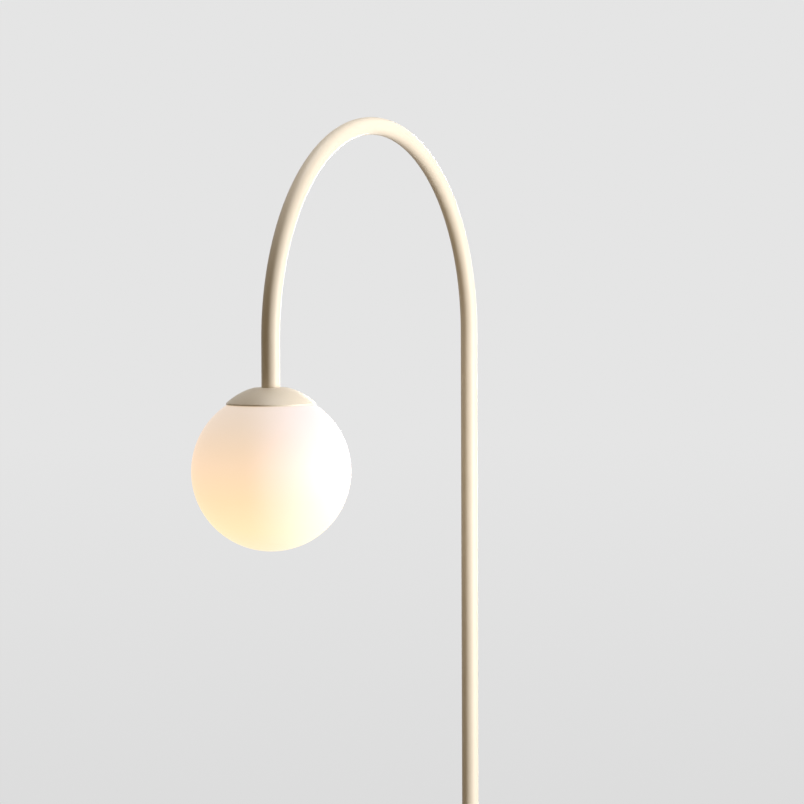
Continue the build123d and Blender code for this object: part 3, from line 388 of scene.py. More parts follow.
def opal_glass():
    """Satin opal glass lit from inside: brighter and yellower round the bulb, in the lower half."""
    material, tree, shader, place = start_material("opal_glass")
    split = tree.nodes.new("ShaderNodeSeparateXYZ")
    tree.links.new(place, split.inputs["Vector"])
    height = spread(tree, split.outputs["Z"], 0, 1, GLOBE_Z - GLOBE_R, GLOBE_Z + GLOBE_R)
    ramp = tree.nodes.new("ShaderNodeValToRGB")
    stops = ramp.color_ramp.elements
    stops[0].position = 0.0
    stops[0].color = (*GLOW[0][1], 1)
    stops[1].position = 1.0
    stops[1].color = (*GLOW[-1][1], 1)
    for position, colour in GLOW[1:-1]:
        stop = stops.new(position)
        stop.color = (*colour, 1)
    tree.links.new(height, ramp.inputs["Fac"])
    tree.links.new(ramp.outputs["Color"], shader.inputs["Emission Color"])
    shader.inputs["Emission Strength"].default_value = 1.02
    cloud = noise(tree, place, 14.0, 2.0)
    white = blend_colours(tree, spread(tree, cloud, 0, 1), (0.31, 0.322, 0.45), (0.34, 0.352, 0.48))
    tree.links.new(white, shader.inputs["Base Color"])
    satin = noise(tree, place, 900.0, 2.0)
    tree.links.new(spread(tree, satin, 0.55, 0.65), shader.inputs["Roughness"])
    bump(tree, shader, satin, 0.04, 0.05 * MM)
    shader.inputs["Specular IOR Level"].default_value = 0.3
    shader.inputs["Coat Weight"].default_value = 0.1
    shader.inputs["Coat Roughness"].default_value = 0.5
    return material


# Light colour, dark colour, lowest and highest roughness, metal, grain, mottle and relief of each surface.
SURFACES = {
    "cast_iron": ((0.14, 0.14, 0.145), (0.07, 0.07, 0.073), (0.55, 0.8), 0.6, 700, 60, 0.5),
    "felt": ((0.085, 0.085, 0.09), (0.045, 0.045, 0.05), (0.9, 1.0), 0.0, 1800, 220, 0.8),
    "zinc_steel": ((0.66, 0.67, 0.69), (0.52, 0.54, 0.57), (0.26, 0.42), 1.0, 900, 80, 0.1),
    "spring_steel": ((0.60, 0.61, 0.63), (0.52, 0.54, 0.57), (0.24, 0.32), 1.0, 900, 60, 0.04),
    "brass": ((0.82, 0.62, 0.29), (0.66, 0.46, 0.19), (0.22, 0.38), 1.0, 900, 110, 0.1),
    "nickel": ((0.74, 0.72, 0.68), (0.62, 0.60, 0.57), (0.14, 0.26), 1.0, 900, 90, 0.08),
    "black_plastic": ((0.035, 0.035, 0.038), (0.02, 0.02, 0.022), (0.36, 0.5), 0.0, 1400, 60, 0.15),
    "white_plastic": ((0.86, 0.86, 0.84), (0.79, 0.79, 0.76), (0.26, 0.38), 0.0, 1200, 40, 0.1),
    "diffuser_plastic": ((0.92, 0.90, 0.86), (0.87, 0.85, 0.80), (0.42, 0.55), 0.0, 1200, 25, 0.1),
    "rubber": ((0.05, 0.05, 0.052), (0.028, 0.028, 0.03), (0.6, 0.78), 0.0, 1500, 90, 0.3),
    "silicone": ((0.76, 0.75, 0.71), (0.68, 0.67, 0.62), (0.4, 0.55), 0.0, 900, 60, 0.1),
    "flex_sheath": ((0.80, 0.79, 0.74), (0.73, 0.71, 0.66), (0.4, 0.55), 0.0, 900, 50, 0.1),
    "lead_sheath": ((0.30, 0.11, 0.055), (0.22, 0.08, 0.04), (0.35, 0.5), 0.0, 900, 80, 0.1),
    "ceramic": ((0.86, 0.85, 0.81), (0.79, 0.77, 0.72), (0.15, 0.3), 0.0, 600, 60, 0.1),
    "black_glass": ((0.02, 0.02, 0.025), (0.012, 0.012, 0.016), (0.08, 0.18), 0.0, 600, 60, 0.05),
    "board": ((0.82, 0.83, 0.82), (0.76, 0.77, 0.75), (0.35, 0.5), 0.0, 1400, 120, 0.1),
    "board_green": ((0.05, 0.22, 0.10), (0.03, 0.15, 0.07), (0.3, 0.45), 0.0, 1400, 120, 0.1),
    "led_phosphor": ((0.95, 0.76, 0.16), (0.88, 0.62, 0.10), (0.4, 0.55), 0.0, 1800, 300, 0.2),
}
SPECIAL_FACTS = {
    "cast_iron": {"depth": 0.4 * MM},
    "felt": {"depth": 0.5 * MM, "specular": 0.1},
    "spring_steel": {"depth": 0.02 * MM},
    "rubber": {"specular": 0.3},
    "ceramic": {"coat": 0.4},
}
BULB_GLOW = (1.0, 0.80, 0.52)
BULB_GLOW_STRENGTH = 0.9

materials = {"cream_paint": cream_paint(), "opal_glass": opal_glass()}
for name, facts in SURFACES.items():
    materials[name] = surface(name, *facts, **SPECIAL_FACTS.get(name, {}))
diffuser = materials["diffuser_plastic"].node_tree.nodes["Principled BSDF"]
diffuser.inputs["Emission Color"].default_value = (*BULB_GLOW, 1)
diffuser.inputs["Emission Strength"].default_value = BULB_GLOW_STRENGTH

# The CAD nodes that no piece replaces show as they are, in their slot's material.
for entry in frame["record"]["subparts"]:
    node = frame["nodes"][entry["node"]]
    node.data.materials.clear()
    node.data.materials.append(materials[entry["material_slot"]])


# ================= Stem =================

straight = ARCH_FOOT_Z - JOINT_Z
bend = math.pi * ARCH_R
arm = ARCH_FOOT_Z - CAP_TOP


def arch_path(s):
    """Point and direction at distance s along the upper pole, the half-circle and the short arm."""
    if s <= straight:
        return Vector((0, 0, JOINT_Z + s)), Vector((0, 0, 1))
    if s <= straight + bend:
        turn = (s - straight) / ARCH_R
        centre = Vector((-ARCH_R, 0, ARCH_FOOT_Z))
        out = Vector((math.cos(turn), 0, math.sin(turn)))
        return centre + ARCH_R * out, Vector((-math.sin(turn), 0, math.cos(turn)))
    return Vector((-2 * ARCH_R, 0, ARCH_FOOT_Z - (s - straight - bend))), Vector((0, 0, -1))


def pole_path(s):
    """Point and direction at distance s up the lower pole."""
    return Vector((0, 0, POLE_FOOT_Z + s)), Vector((0, 0, 1))


# Upper pole, half-circle and arm in one tube, with two holes for the coupling's grub screws.
BEND_STEPS = 240
TUBE_SIDES = 96
arch_stations = [0.0, 0.25 * straight, 0.5 * straight, 0.75 * straight]
arch_stations += [straight + bend * i / BEND_STEPS for i in range(BEND_STEPS + 1)]
arch_stations += [straight + bend + arm * share for share in (0.5, 1.0)]
arch = tube_along(
    "arch_tube_visual", arch_path, straight + bend + arm, arch_stations, TUBE_R, TUBE_WALL, TUBE_EDGE_R,
    TUBE_SIDES,
)
grub_lo, grub_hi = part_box("coupler_screws")
GRUB_R = (grub_hi.y - grub_lo.y) / 2
cut(arch, [
    rod((TUBE_R - 2 * TUBE_WALL, 0, z), (1, 0, 0), GRUB_R + HOLE_PLAY, 3 * TUBE_WALL)
    for z in (grub_lo.z + GRUB_R, grub_hi.z - GRUB_R)
])
finish_piece(arch, "stand", "cream_paint", "arch_tube")

# Lower pole.
pole_length = JOINT_Z - POLE_FOOT_Z
pole_stations = [pole_length * i / 4 for i in range(5)]
pole = tube_along(
    "lower_pole_visual", pole_path, pole_length, pole_stations, TUBE_R, TUBE_WALL, TUBE_EDGE_R, TUBE_SIDES
)
finish_piece(pole, "stand", "cream_paint", "lower_pole")

# ================= Base =================

# Felt pad.
felt_lo, felt_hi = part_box("base_felt")
FELT_R = felt_hi.y
felt_outline = [(0.0, felt_lo.z), (FELT_R, felt_lo.z), (FELT_R, felt_hi.z), (0.0, felt_hi.z)]
felt = lathe("base_felt_visual", rounded(felt_outline, 0.7 * MM), steps=192)
finish_piece(felt, "stand", "felt", "base_felt")

# Spun cover, with holes for the foot switch's ring and for the cord's bush.
COVER_EDGE_R = 10.0 * MM
EDGE_STEPS = 16
COVER_BORE_R = TUBE_R + 0.3 * MM
edge_centre = (COVER_R - COVER_EDGE_R, COVER_TOP - COVER_EDGE_R)
cover_outline = (
    [(COVER_BORE_R, COVER_TOP)]
    + corner_arc(edge_centre, COVER_EDGE_R, 90, 0, EDGE_STEPS)
    + [(COVER_R, cover_lo.z), (COVER_R - COVER_WALL, cover_lo.z)]
    + corner_arc(edge_centre, COVER_EDGE_R - COVER_WALL, 0, 90, EDGE_STEPS)
    + [(COVER_BORE_R, COVER_TOP - COVER_WALL)]
)
cover = lathe("base_cover_visual", rounded(cover_outline, 0.5 * MM), steps=256)
bush_lo, bush_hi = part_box("cord_bush")
INLET_Z = (bush_lo.z + bush_hi.z) / 2
INLET_NECK_R = 4.8 * MM
RING_NECK_R = 19.4 * MM
cut(cover, [
    rod((*BUTTON, COVER_TOP - 3 * COVER_WALL), UP, RING_NECK_R + HOLE_PLAY, 6 * COVER_WALL),
    rod((COVER_R - 3 * COVER_WALL, 0, INLET_Z), (1, 0, 0), INLET_NECK_R + HOLE_PLAY, 6 * COVER_WALL),
])
finish_piece(cover, "stand", "cream_paint", "base_cover")

# Collar round the foot of the pole.
SMALL_EDGE_STEPS = 10
collar_lo, collar_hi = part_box("pole_collar")
COLLAR_R = collar_hi.y
COLLAR_EDGE_R = 2.5 * MM
COLLAR_BORE_R = TUBE_R + HOLE_PLAY
collar_edge = (COLLAR_R - COLLAR_EDGE_R, collar_hi.z - COLLAR_EDGE_R)
collar_outline = (
    [(COLLAR_BORE_R, collar_hi.z)]
    + corner_arc(collar_edge, COLLAR_EDGE_R, 90, 0, SMALL_EDGE_STEPS)
    + [(COLLAR_R, collar_lo.z), (COLLAR_BORE_R, collar_lo.z)]
)
collar = lathe("pole_collar_visual", rounded(collar_outline, 0.35 * MM))
finish_piece(collar, "stand", "cream_paint", "pole_collar")

# Foot button: a cup with a lip that stops it under the ring, and a plunger in its middle.
BUTTON_R = 15.3 * MM
BUTTON_LIP_R = (button_hi.x - button_lo.x) / 2
BUTTON_LIP_Z = 19.4 * MM
LIP_TOP_Z = 20.9 * MM
BUTTON_IN_R = 12.8 * MM
BUTTON_ROOF = 2.2 * MM
BUTTON_EDGE_R = 1.8 * MM
PLUNGER_R = 2.6 * MM
button_edge = (BUTTON_R - BUTTON_EDGE_R, button_hi.z - BUTTON_EDGE_R)
button_outline = (
    [(0.0, button_hi.z)]
    + corner_arc(button_edge, BUTTON_EDGE_R, 90, 0, SMALL_EDGE_STEPS)
    + [
        (BUTTON_R, LIP_TOP_Z), (BUTTON_LIP_R, LIP_TOP_Z), (BUTTON_LIP_R, BUTTON_LIP_Z),
        (BUTTON_IN_R, BUTTON_LIP_Z), (BUTTON_IN_R, button_hi.z - BUTTON_ROOF),
        (PLUNGER_R, button_hi.z - BUTTON_ROOF), (PLUNGER_R, button_lo.z), (0.0, button_lo.z),
    ]
)
button = lathe("foot_button_visual", rounded(button_outline, 0.4 * MM), BUTTON)
finish_piece(button, "button", "cream_paint", "foot_button")

# Ring that guides the button.
BUTTON_PLAY = 0.3 * MM
RING_R = (ring_hi.x - ring_lo.x) / 2
RING_MOUTH_R = BUTTON_R + BUTTON_PLAY
RING_SKIRT_R = BUTTON_LIP_R + BUTTON_PLAY
RING_EDGE_R = 1.6 * MM
ring_edge = (RING_R - RING_EDGE_R, ring_hi.z - RING_EDGE_R)
ring_outline = (
    [(RING_MOUTH_R, ring_hi.z)]
    + corner_arc(ring_edge, RING_EDGE_R, 90, 0, SMALL_EDGE_STEPS)
    + [
        (RING_R, COVER_TOP), (RING_NECK_R, COVER_TOP), (RING_NECK_R, ring_lo.z), (RING_SKIRT_R, ring_lo.z),
        (RING_SKIRT_R, LIP_TOP_Z + HOLE_PLAY), (RING_MOUTH_R, LIP_TOP_Z + HOLE_PLAY),
    ]
)
ring = lathe("button_ring_visual", rounded(ring_outline, 0.5 * MM), BUTTON)
finish_piece(ring, "stand", "cream_paint", "button_ring")

# Return spring inside the button: it shortens as the button goes down.
COIL_WIRE_R = 0.65 * MM
COIL_TURNS = 4.5
COIL_END_SLOPE = 0.54
coil_lo, coil_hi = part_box("button_spring")
COIL_R = (coil_hi.x - coil_lo.x) / 2 - COIL_WIRE_R
spring = coil(
    "button_spring_visual", BUTTON, coil_lo.z, coil_hi.z, COIL_R, COIL_WIRE_R, COIL_TURNS, COIL_END_SLOPE
)
finish_piece(spring, "stand", "spring_steel", "button_spring")
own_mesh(spring)

# Bush round the cord's inlet, turned about the X axis from the cover's side.
INLET_BORE_R = 3.6 * MM
INLET_FLANGE_R = (bush_hi.z - bush_lo.z) / 2
INLET_EDGE_R = 0.8 * MM
bush_end = bush_hi.x - COVER_R
bush_foot = bush_lo.x - COVER_R
bush_edge = (INLET_FLANGE_R - INLET_EDGE_R, bush_end - INLET_EDGE_R)
bush_outline = (
    [(INLET_BORE_R, bush_end)]
    + corner_arc(bush_edge, INLET_EDGE_R, 90, 0, 8)
    + [(INLET_FLANGE_R, 0.0), (INLET_NECK_R, 0.0), (INLET_NECK_R, bush_foot), (INLET_BORE_R, bush_foot)]
)
bush_place = Matrix.Translation((COVER_R, 0, INLET_Z)) @ Matrix.Rotation(math.radians(90), 4, "Y")
bush = lathe("cord_bush_visual", rounded(bush_outline, 0.3 * MM), steps=96, place=bush_place)
finish_piece(bush, "stand", "rubber", "cord_bush")

# ================= Cap and globe =================

# Spun cap: a flat top, a domed side and a short straight lip that ends just off the globe.
CAP_WALL = 1.5 * MM
CAP_DOME_R = 74.0 * MM
CAP_DOME_Z = GLOBE_Z + 22.8 * MM
cap_top_angle = math.degrees(math.asin((CAP_TOP - CAP_DOME_Z) / CAP_DOME_R))
cap_rim_angle = math.degrees(math.acos(CAP_R / CAP_DOME_R))
inner_top_angle = math.degrees(math.asin((CAP_TOP - CAP_WALL - CAP_DOME_Z) / (CAP_DOME_R - CAP_WALL)))
inner_rim_angle = math.degrees(math.acos((CAP_R - CAP_WALL) / (CAP_DOME_R - CAP_WALL)))
NIPPLE_HOLE_R = 5.15 * MM
LIP_PLAY = 0.3 * MM
lip_r = GLOBE_R + LIP_PLAY
lip_out_z = GLOBE_Z + math.sqrt(lip_r**2 - CAP_R**2)
lip_in_z = GLOBE_Z + math.sqrt(lip_r**2 - (CAP_R - CAP_WALL) ** 2)
cap_outline = (
    [(NIPPLE_HOLE_R, CAP_TOP)]
    + arc(CAP_DOME_Z, CAP_DOME_R, cap_top_angle, cap_rim_angle, 40)
    + [(CAP_R, lip_out_z), (CAP_R - CAP_WALL, lip_in_z)]
    + arc(CAP_DOME_Z, CAP_DOME_R - CAP_WALL, inner_rim_angle, inner_top_angle, 40)
    + [(NIPPLE_HOLE_R, CAP_TOP - CAP_WALL)]
)
cap = lathe("globe_cap_visual", rounded(cap_outline, 0.45 * MM), HEAD, steps=192)
finish_piece(cap, "stand", "cream_paint", "globe_cap")

# Blown globe with its neck at the top. Its rim ends this many degrees short of the CAD's.
NECK_SHORT = 0.6
neck_angle = math.degrees(math.asin((NECK_Z - GLOBE_Z) / GLOBE_R)) - NECK_SHORT
glass_in_r = GLOBE_R - GLASS_WALL
neck_r = GLOBE_R * math.cos(math.radians(neck_angle))
neck_in_angle = math.degrees(math.acos(neck_r / glass_in_r))
glass_outline = (
    arc(GLOBE_Z, GLOBE_R, -90, neck_angle, 150)
    + arc(GLOBE_Z, glass_in_r, neck_in_angle, -90, 150)
)
globe = lathe("glass_globe_visual", rounded(glass_outline, 1.2 * MM, 6), HEAD, steps=256)
finish_piece(globe, "globe", "opal_glass", "glass_globe")

# Soft ring in the cap's rim.
SEAL_R0 = 44.5 * MM
SEAL_R1 = 48.0 * MM
SEAL_PLAY = 0.05 * MM
seal_over = CAP_DOME_R - CAP_WALL - SEAL_PLAY
seal_under = lip_r + SEAL_PLAY
over_angles = [math.degrees(math.acos(r / seal_over)) for r in (SEAL_R0, SEAL_R1)]
under_angles = [math.degrees(math.acos(r / seal_under)) for r in (SEAL_R1, SEAL_R0)]
seal_outline = arc(CAP_DOME_Z, seal_over, *over_angles, 8) + arc(GLOBE_Z, seal_under, *under_angles, 8)
seal = lathe("neck_gasket_visual", rounded(seal_outline, 0.5 * MM), HEAD, steps=160)
finish_piece(seal, "stand", "silicone", "neck_gasket")

# Pressed plate that carries the spring clips, with three large holes between its rivets.
plate_lo, plate_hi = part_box("clip_carrier")
CARRIER_R = plate_hi.y
CARRIER_HOLE_R = 5.0 * MM
CARRIER_HOLE_CIRCLE_R = 23.0 * MM
RIVET_CIRCLE_R = 25.0 * MM
RIVET_R = 1.6 * MM
CUT_PAST = 1.0 * MM
plate_outline = [
    (NIPPLE_HOLE_R, plate_hi.z), (CARRIER_R, plate_hi.z), (CARRIER_R, plate_lo.z), (NIPPLE_HOLE_R, plate_lo.z)
]
carrier = lathe("clip_carrier_visual", rounded(plate_outline, 0.35 * MM), HEAD, steps=160)
hole_places = [(60 + 120 * n, CARRIER_HOLE_CIRCLE_R, CARRIER_HOLE_R) for n in range(3)]
hole_places += [(120 * n, RIVET_CIRCLE_R, RIVET_R + HOLE_PLAY) for n in range(3)]
plate_holes = []
for bearing, circle, radius in hole_places:
    x = HEAD[0] + circle * math.cos(math.radians(bearing))
    y = circle * math.sin(math.radians(bearing))
    start = (x, y, plate_lo.z - CUT_PAST)
    plate_holes.append(rod(start, UP, radius, plate_hi.z - plate_lo.z + 2 * CUT_PAST, 48))
cut(carrier, plate_holes)
finish_piece(carrier, "stand", "zinc_steel", "clip_carrier")

# Rivets, with a low dome at each end.
rivet_lo, rivet_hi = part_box("clip_rivets")
RIVET_HEAD_R = 2.6 * MM
RIVET_HEAD_H = 0.9 * MM
rivet_lumps = []
for n in range(3):
    turn = math.radians(120 * n)
    place = (HEAD[0] + RIVET_CIRCLE_R * math.cos(turn), RIVET_CIRCLE_R * math.sin(turn))
    dome = [
        (RIVET_HEAD_R * math.cos(math.radians(a)), RIVET_HEAD_H * math.sin(math.radians(a)))
        for a in range(90, -1, -15)
    ]
    rivet_outline = [(r, rivet_hi.z - RIVET_HEAD_H + z) for r, z in dome]
    rivet_outline += [(RIVET_R, rivet_hi.z - RIVET_HEAD_H), (RIVET_R, rivet_lo.z + RIVET_HEAD_H)]
    rivet_outline += [(r, rivet_lo.z + RIVET_HEAD_H - z) for r, z in reversed(dome)]
    rivet_lumps.append(lathe(f"rivet_{n}", rivet_outline, place, steps=32))
rivets = joined("clip_rivets_visual", rivet_lumps)
finish_piece(rivets, "stand", "zinc_steel", "clip_rivets")

# ================= Lampholder and bulb =================

# These outlines are in millimetres from the head's axis and from the globe's centre.
HOLDER_CAP_OUTLINE = [
    (5.15, 85.5), (13.0, 85.5), (20.5, 76.5), (20.5, 57.0), (18.5, 57.0), (18.5, 75.5), (12.0, 83.5),
    (5.15, 83.5),
]
HOLDER_BODY_OUTLINE = [
    (20.5, 57.0), (20.3, 53.6), (19.9, 53.2), (19.9, 52.6), (20.24, 52.2), (19.0, 31.0), (14.5, 31.0),
    (14.5, 34.0), (17.0, 37.0), (18.5, 57.0),
]
CENTRE_CONTACT_OUTLINE = [(0, 58.0), (4.5, 58.0), (4.5, 57.4), (2.5, 56.9), (0, 56.9)]
BULB_CONTACT_OUTLINE = [(0, 56.5), (3.3, 56.5), (4.6, 55.2), (4.6, 54.6), (0, 54.6)]
INSULATOR_OUTLINE = [(0, 54.3), (5.4, 54.3), (10.4, 50.5), (10.4, 49.3), (0, 49.3)]

for name, outline, edge, body, slot in [
    ("holder_cap", HOLDER_CAP_OUTLINE, 1.2, "stand", "black_plastic"),
    ("holder_body", HOLDER_BODY_OUTLINE, 0.8, "stand", "black_plastic"),
    ("centre_contact", CENTRE_CONTACT_OUTLINE, 0.25, "stand", "brass"),
    ("bulb_contact", BULB_CONTACT_OUTLINE, 0.5, "bulb_lift", "nickel"),
    ("bulb_insulator", INSULATOR_OUTLINE, 0.5, "bulb", "black_glass"),
]:
    turned = lathe(f"{name}_visual", rounded(raised(outline, GLOBE_Z), edge * MM), HEAD, steps=96)
    finish_piece(turned, body, slot, name)

# E27 thread, the same in the bulb's shell and the lampholder's, and in step.
THREAD_PITCH = 3.629 * MM
THREAD_DEPTH = 1.0 * MM
THREAD_ROWS = 16           # rows of points to one pitch


def thread_rows(radius, foot, top, run_out):
    """Rows from foot to top, whose groove fades out over this height at each end."""
    count = max(2, round((top - foot) / THREAD_PITCH * THREAD_ROWS))
    rows = []
    for i in range(count + 1):
        z = foot + (top - foot) * i / count
        share = min(1.0, (z - foot) / run_out, (top - z) / run_out)
        fade = share * share * (3 - 2 * share)
        rows.append((radius, z, THREAD_DEPTH * fade))
    return rows


# Screw shell of the bulb: it narrows to the housing's spigot at its top.
SHELL_WALL = 0.5 * MM
RIM_EASE = 0.15 * MM
THREAD_INSET = 0.6 * MM
shell_lo, shell_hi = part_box("bulb_screw_shell")
SHELL_R = shell_hi.y
shell_neck_z = shell_hi.z - 2.0 * MM
run_out = 0.8 * THREAD_PITCH
shell_rows = thread_rows(SHELL_R, shell_lo.z + THREAD_INSET, shell_neck_z - 0.3 * MM, run_out)
shell_inside = [(r - SHELL_WALL, z, depth) for r, z, depth in reversed(shell_rows)]
screw_shell = threaded(
    "bulb_screw_shell_visual",
    [(SHELL_R - RIM_EASE, shell_lo.z, 0.0), (SHELL_R, shell_lo.z + RIM_EASE, 0.0)]
    + shell_rows
    + [
        (SHELL_R - RIM_EASE, shell_neck_z, 0.0), (SHELL_R - 0.6 * MM, shell_neck_z + 0.6 * MM, 0.0),
        (SHELL_R - 1.7 * MM, shell_hi.z - 0.2 * MM, 0.0), (SHELL_R - 2.0 * MM, shell_hi.z, 0.0),
        (SHELL_R - 2.5 * MM, shell_hi.z - 0.05 * MM, 0.0), (SHELL_R - 1.0 * MM, shell_neck_z - 0.1 * MM, 0.0),
    ]
    + shell_inside
    + [(SHELL_R - SHELL_WALL, shell_lo.z, 0.0)],
    THREAD_PITCH, HEAD, GLOBE_Z,
)
finish_piece(screw_shell, "bulb", "nickel", "bulb_screw_shell")

# Threaded shell of the lampholder, with a flange at its top.
SOCKET_WALL = 0.7 * MM
SOCKET_FLANGE_T = 1.0 * MM
FLANGE_EASE = 0.2 * MM
THREAD_BELOW_FLANGE = 4.0 * MM
socket_lo, socket_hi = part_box("holder_shell")
SOCKET_FLANGE_R = socket_hi.y
SOCKET_R = 13.3 * MM
flange_z = socket_hi.z - SOCKET_FLANGE_T
socket_rows = thread_rows(SOCKET_R, socket_lo.z + THREAD_INSET, flange_z - THREAD_BELOW_FLANGE, run_out)
socket_outside = [(r + SOCKET_WALL, z, depth) for r, z, depth in reversed(socket_rows)]
socket_shell = threaded(
    "holder_shell_visual",
    [(SOCKET_R + RIM_EASE, socket_lo.z, 0.0), (SOCKET_R, socket_lo.z + RIM_EASE, 0.0)]
    + socket_rows
    + [
        (SOCKET_R, socket_hi.z, 0.0), (SOCKET_FLANGE_R - FLANGE_EASE, socket_hi.z, 0.0),
        (SOCKET_FLANGE_R, socket_hi.z - FLANGE_EASE, 0.0), (SOCKET_FLANGE_R, flange_z + FLANGE_EASE, 0.0),
        (SOCKET_FLANGE_R - FLANGE_EASE, flange_z, 0.0), (SOCKET_R + SOCKET_WALL, flange_z, 0.0),
    ]
    + socket_outside
    + [(SOCKET_R + SOCKET_WALL, socket_lo.z, 0.0)],
    THREAD_PITCH, HEAD, GLOBE_Z,
)
finish_piece(socket_shell, "stand", "brass", "holder_shell")


def through(first, middle, last, steps):
    """Points of the circle through three points of an outline, from the first to the last."""
    (ax, ay), (bx, by), (cx, cy) = first, middle, last
    d = 2 * (ax * (by - cy) + bx * (cy - ay) + cx * (ay - by))
    a2, b2, c2 = ax * ax + ay * ay, bx * bx + by * by, cx * cx + cy * cy
    centre = (
        (a2 * (by - cy) + b2 * (cy - ay) + c2 * (ay - by)) / d,
        (a2 * (cx - bx) + b2 * (ax - cx) + c2 * (bx - ax)) / d,
    )
    start, end = (math.degrees(math.atan2(y - centre[1], x - centre[0])) for x, y in (first, last))
    end += 360 * round((start - end) / 360)
    return corner_arc(centre, math.dist(first, centre), start, end, steps)


# Housing: a spigot in the screw shell and a flared body with a floor for the LED board, in millimetres
# as above. Its flare is a circle through three points, inside and outside.
BULB_R = 30.0
BULB_RIM_R = 27.4
BULB_WALL = 1.2
BULB_CENTRE = -21.5
BOARD_FLOOR = 2.0
SPIGOT_R = 12.4
SPIGOT_IN_R = 11.5
SPIGOT_FOOT = 30.4
SPIGOT_TOP = 38.4
rim_z = BULB_CENTRE + math.sqrt(BULB_R**2 - BULB_RIM_R**2)
housing_outline = (
    [(0.0, rim_z + BOARD_FLOOR)]
    + through((BULB_RIM_R - 3.4, rim_z + BOARD_FLOOR), (16.6, 14.0), (SPIGOT_IN_R, SPIGOT_FOOT), 24)
    + [(SPIGOT_IN_R, SPIGOT_TOP), (SPIGOT_R, SPIGOT_TOP), (SPIGOT_R, SPIGOT_FOOT)]
    + through((13.6, 30.0), (18.4, 13.4), (BULB_RIM_R, rim_z), 32)
    + [(0.0, rim_z)]
)
housing = lathe("bulb_housing_visual", rounded(raised(housing_outline, GLOBE_Z), 0.4 * MM), HEAD)
finish_piece(housing, "bulb", "white_plastic", "bulb_housing")

# Dome: part of a sphere that closes the bulb at its foot.
dome_in_r = BULB_R - BULB_WALL
rim_angle = math.degrees(math.asin((rim_z - BULB_CENTRE) / BULB_R))
rim_in_angle = math.degrees(math.asin((rim_z - BULB_CENTRE) / dome_in_r))
dome_outline = (
    arc(BULB_CENTRE, BULB_R, rim_angle, -90, 64)
    + arc(BULB_CENTRE, dome_in_r, -90, rim_in_angle, 64)
)
dome = lathe("bulb_dome_visual", rounded(raised(dome_outline, GLOBE_Z), 0.3 * MM), HEAD)
finish_piece(dome, "bulb", "diffuser_plastic", "bulb_dome")

# ================= Stage, light and camera =================

# Camera: turned from +Y towards +X, tipped down and rolled by a hair. Its place is given from the arch's
# foot: metres back, to the left and up.
CAMERA_YAW = math.radians(62.24)
CAMERA_PITCH = math.radians(2.65)
CAMERA_ROLL = 0.0039       # radians
CAMERA_DISTANCE = 3.7703
CAMERA_SIDE = 0.0855
CAMERA_RISE = 0.0844
LENS = 132.7               # millimetres, on a sensor of 36

ahead = Vector((math.sin(CAMERA_YAW), math.cos(CAMERA_YAW), 0))
right = Vector((math.cos(CAMERA_YAW), -math.sin(CAMERA_YAW), 0))
looking = ahead * math.cos(CAMERA_PITCH) - UP * math.sin(CAMERA_PITCH)
level_up = right.cross(looking)
tilted_up = level_up * math.cos(CAMERA_ROLL) + right * math.sin(CAMERA_ROLL)
tilted_right = looking.cross(tilted_up)

camera_data = bpy.data.cameras.new("camera")
camera_data.lens = LENS
camera_data.sensor_width = 36.0
camera = bpy.data.objects.new("camera", camera_data)
bpy.context.collection.objects.link(camera)
facing = Matrix((tilted_right, tilted_up, -looking)).transposed().to_4x4()
stand_point = Vector((0, 0, ARCH_FOOT_Z + CAMERA_RISE)) - ahead * CAMERA_DISTANCE - right * CAMERA_SIDE
camera.matrix_world = Matrix.Translation(stand_point) @ facing
bpy.context.scene.camera = camera


def area_light(name, place, aim, size, power, colour):
    """A soft panel light at a place, facing another. size is its width and height, and power is in watts."""
    data = bpy.data.lights.new(name, "AREA")
    data.shape = "RECTANGLE"
    data.size, data.size_y = size
    data.energy = power
    data.color = colour
    light = bpy.data.objects.new(name, data)
    light.location = place
    light.rotation_mode = "QUATERNION"
    light.rotation_quaternion = (place - aim).to_track_quat("Z", "Y")
    light.visible_camera = False
    bpy.context.collection.objects.link(light)


def off_camera(bearing, height, distance):
    """A place round the lamp: bearing is in degrees to the right of the camera."""
    angle = math.radians(bearing)
    place = lamp_centre + (math.cos(angle) * -ahead + math.sin(angle) * right) * distance
    return Vector((place.x, place.y, height))


lamp_centre = Vector((-ARCH_R, 0, 1.15))
apex = Vector((-ARCH_R, 0, ARCH_FOOT_Z + ARCH_R))
globe_side = Vector((HEAD[0] + GLOBE_R, 0, GLOBE_Z))
area_light("key", off_camera(67.0, 1.15, 1.8), lamp_centre, (0.5, 1.2), 47.0, (1.0, 0.99, 0.97))
area_light("back_fill", off_camera(165.0, 1.40, 3.2), lamp_centre, (1.0, 1.6), 55.0, (1.0, 0.98, 0.96))
area_light("overhead", apex + UP * 1.45, apex, (0.9, 0.9), 14.5, (1.0, 1.0, 1.0))
area_light("globe_glow", globe_side, Vector((0, 0, GLOBE_Z)), (0.12, 0.12), 0.22, (1.0, 0.86, 0.68))


GREY_BAND = (-0.19, -0.06)    # rise of the look's direction over which the grey changes


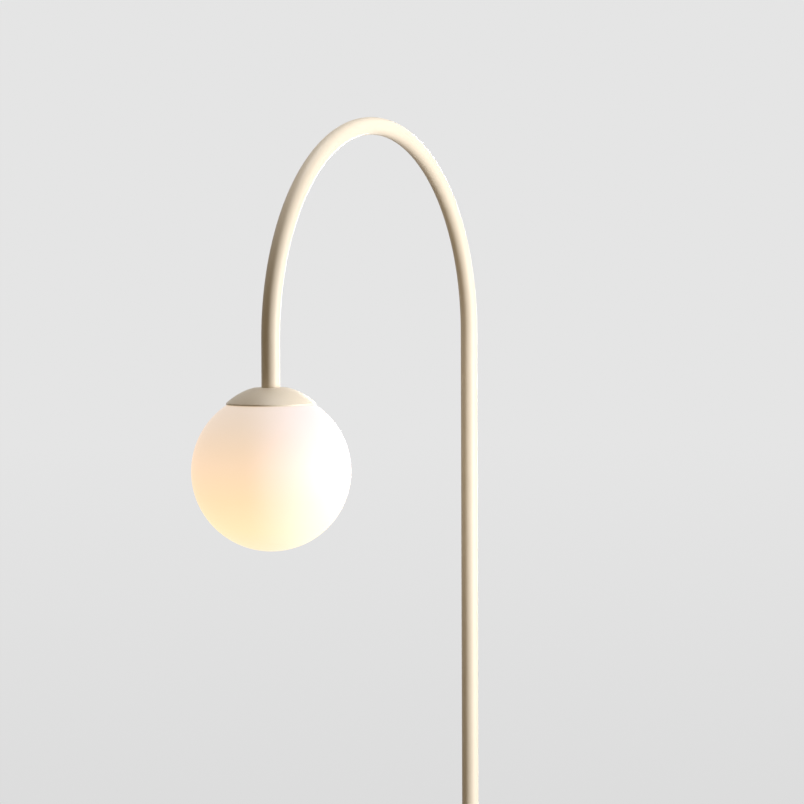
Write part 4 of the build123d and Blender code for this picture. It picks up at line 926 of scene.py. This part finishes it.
def studio_world():
    """Pale grey for the camera and for reflections, darker towards the floor, and a warm dim fill for all
    else."""
    world = bpy.data.worlds.new("studio")
    bpy.context.scene.world = world
    world.use_nodes = True
    tree = world.node_tree
    backdrop = tree.nodes["Background"]
    fill = tree.nodes.new("ShaderNodeBackground")
    fill.inputs["Color"].default_value = (1.0, 0.75, 0.41, 1)
    fill.inputs["Strength"].default_value = 0.16
    direction = tree.nodes.new("ShaderNodeTexCoord").outputs["Generated"]
    split = tree.nodes.new("ShaderNodeSeparateXYZ")
    tree.links.new(direction, split.inputs["Vector"])
    height = spread(tree, split.outputs["Z"], 0, 1, *GREY_BAND)
    grey = blend_colours(tree, height, (0.716, 0.716, 0.716), (0.783, 0.783, 0.783))
    tree.links.new(grey, backdrop.inputs["Color"])
    path = tree.nodes.new("ShaderNodeLightPath")
    either = tree.nodes.new("ShaderNodeMath")
    either.operation = "MAXIMUM"
    tree.links.new(path.outputs["Is Camera Ray"], either.inputs[0])
    tree.links.new(path.outputs["Is Glossy Ray"], either.inputs[1])
    mix = tree.nodes.new("ShaderNodeMixShader")
    tree.links.new(either.outputs["Value"], mix.inputs["Fac"])
    tree.links.new(fill.outputs["Background"], mix.inputs[1])
    tree.links.new(backdrop.outputs["Background"], mix.inputs[2])
    tree.links.new(mix.outputs["Shader"], tree.nodes["World Output"].inputs["Surface"])


studio_world()
bpy.context.scene.view_settings.view_transform = "Standard"

FLOOR_R = 3.0
FLOOR_FADE_R = 0.6         # from here out to its rim the floor fades


def studio_floor():
    """Pale matt floor under the lamp, evenly bright, that fades into the backdrop."""
    bpy.ops.mesh.primitive_circle_add(vertices=128, radius=FLOOR_R, fill_type="NGON", location=(0, 0, 0))
    floor = bpy.context.object
    floor.name = "floor"
    floor.visible_diffuse = False
    material, tree, shader, place = start_material("floor")
    shader.inputs["Roughness"].default_value = 0.9
    shader.inputs["Specular IOR Level"].default_value = 0.1
    grain = noise(tree, place, 60.0, 3.0)
    tree.links.new(
        blend_colours(tree, spread(tree, grain, 0, 1), (0.19, 0.19, 0.193), (0.21, 0.21, 0.213)),
        shader.inputs["Base Color"],
    )
    shader.inputs["Emission Color"].default_value = (1.0, 1.0, 1.0, 1)
    shader.inputs["Emission Strength"].default_value = 0.61
    length = tree.nodes.new("ShaderNodeVectorMath")
    length.operation = "LENGTH"
    tree.links.new(place, length.inputs[0])
    fade = spread(tree, length.outputs["Value"], 1, 0, FLOOR_FADE_R, FLOOR_R)
    tree.links.new(fade, shader.inputs["Alpha"])
    floor.data.materials.append(material)


studio_floor()
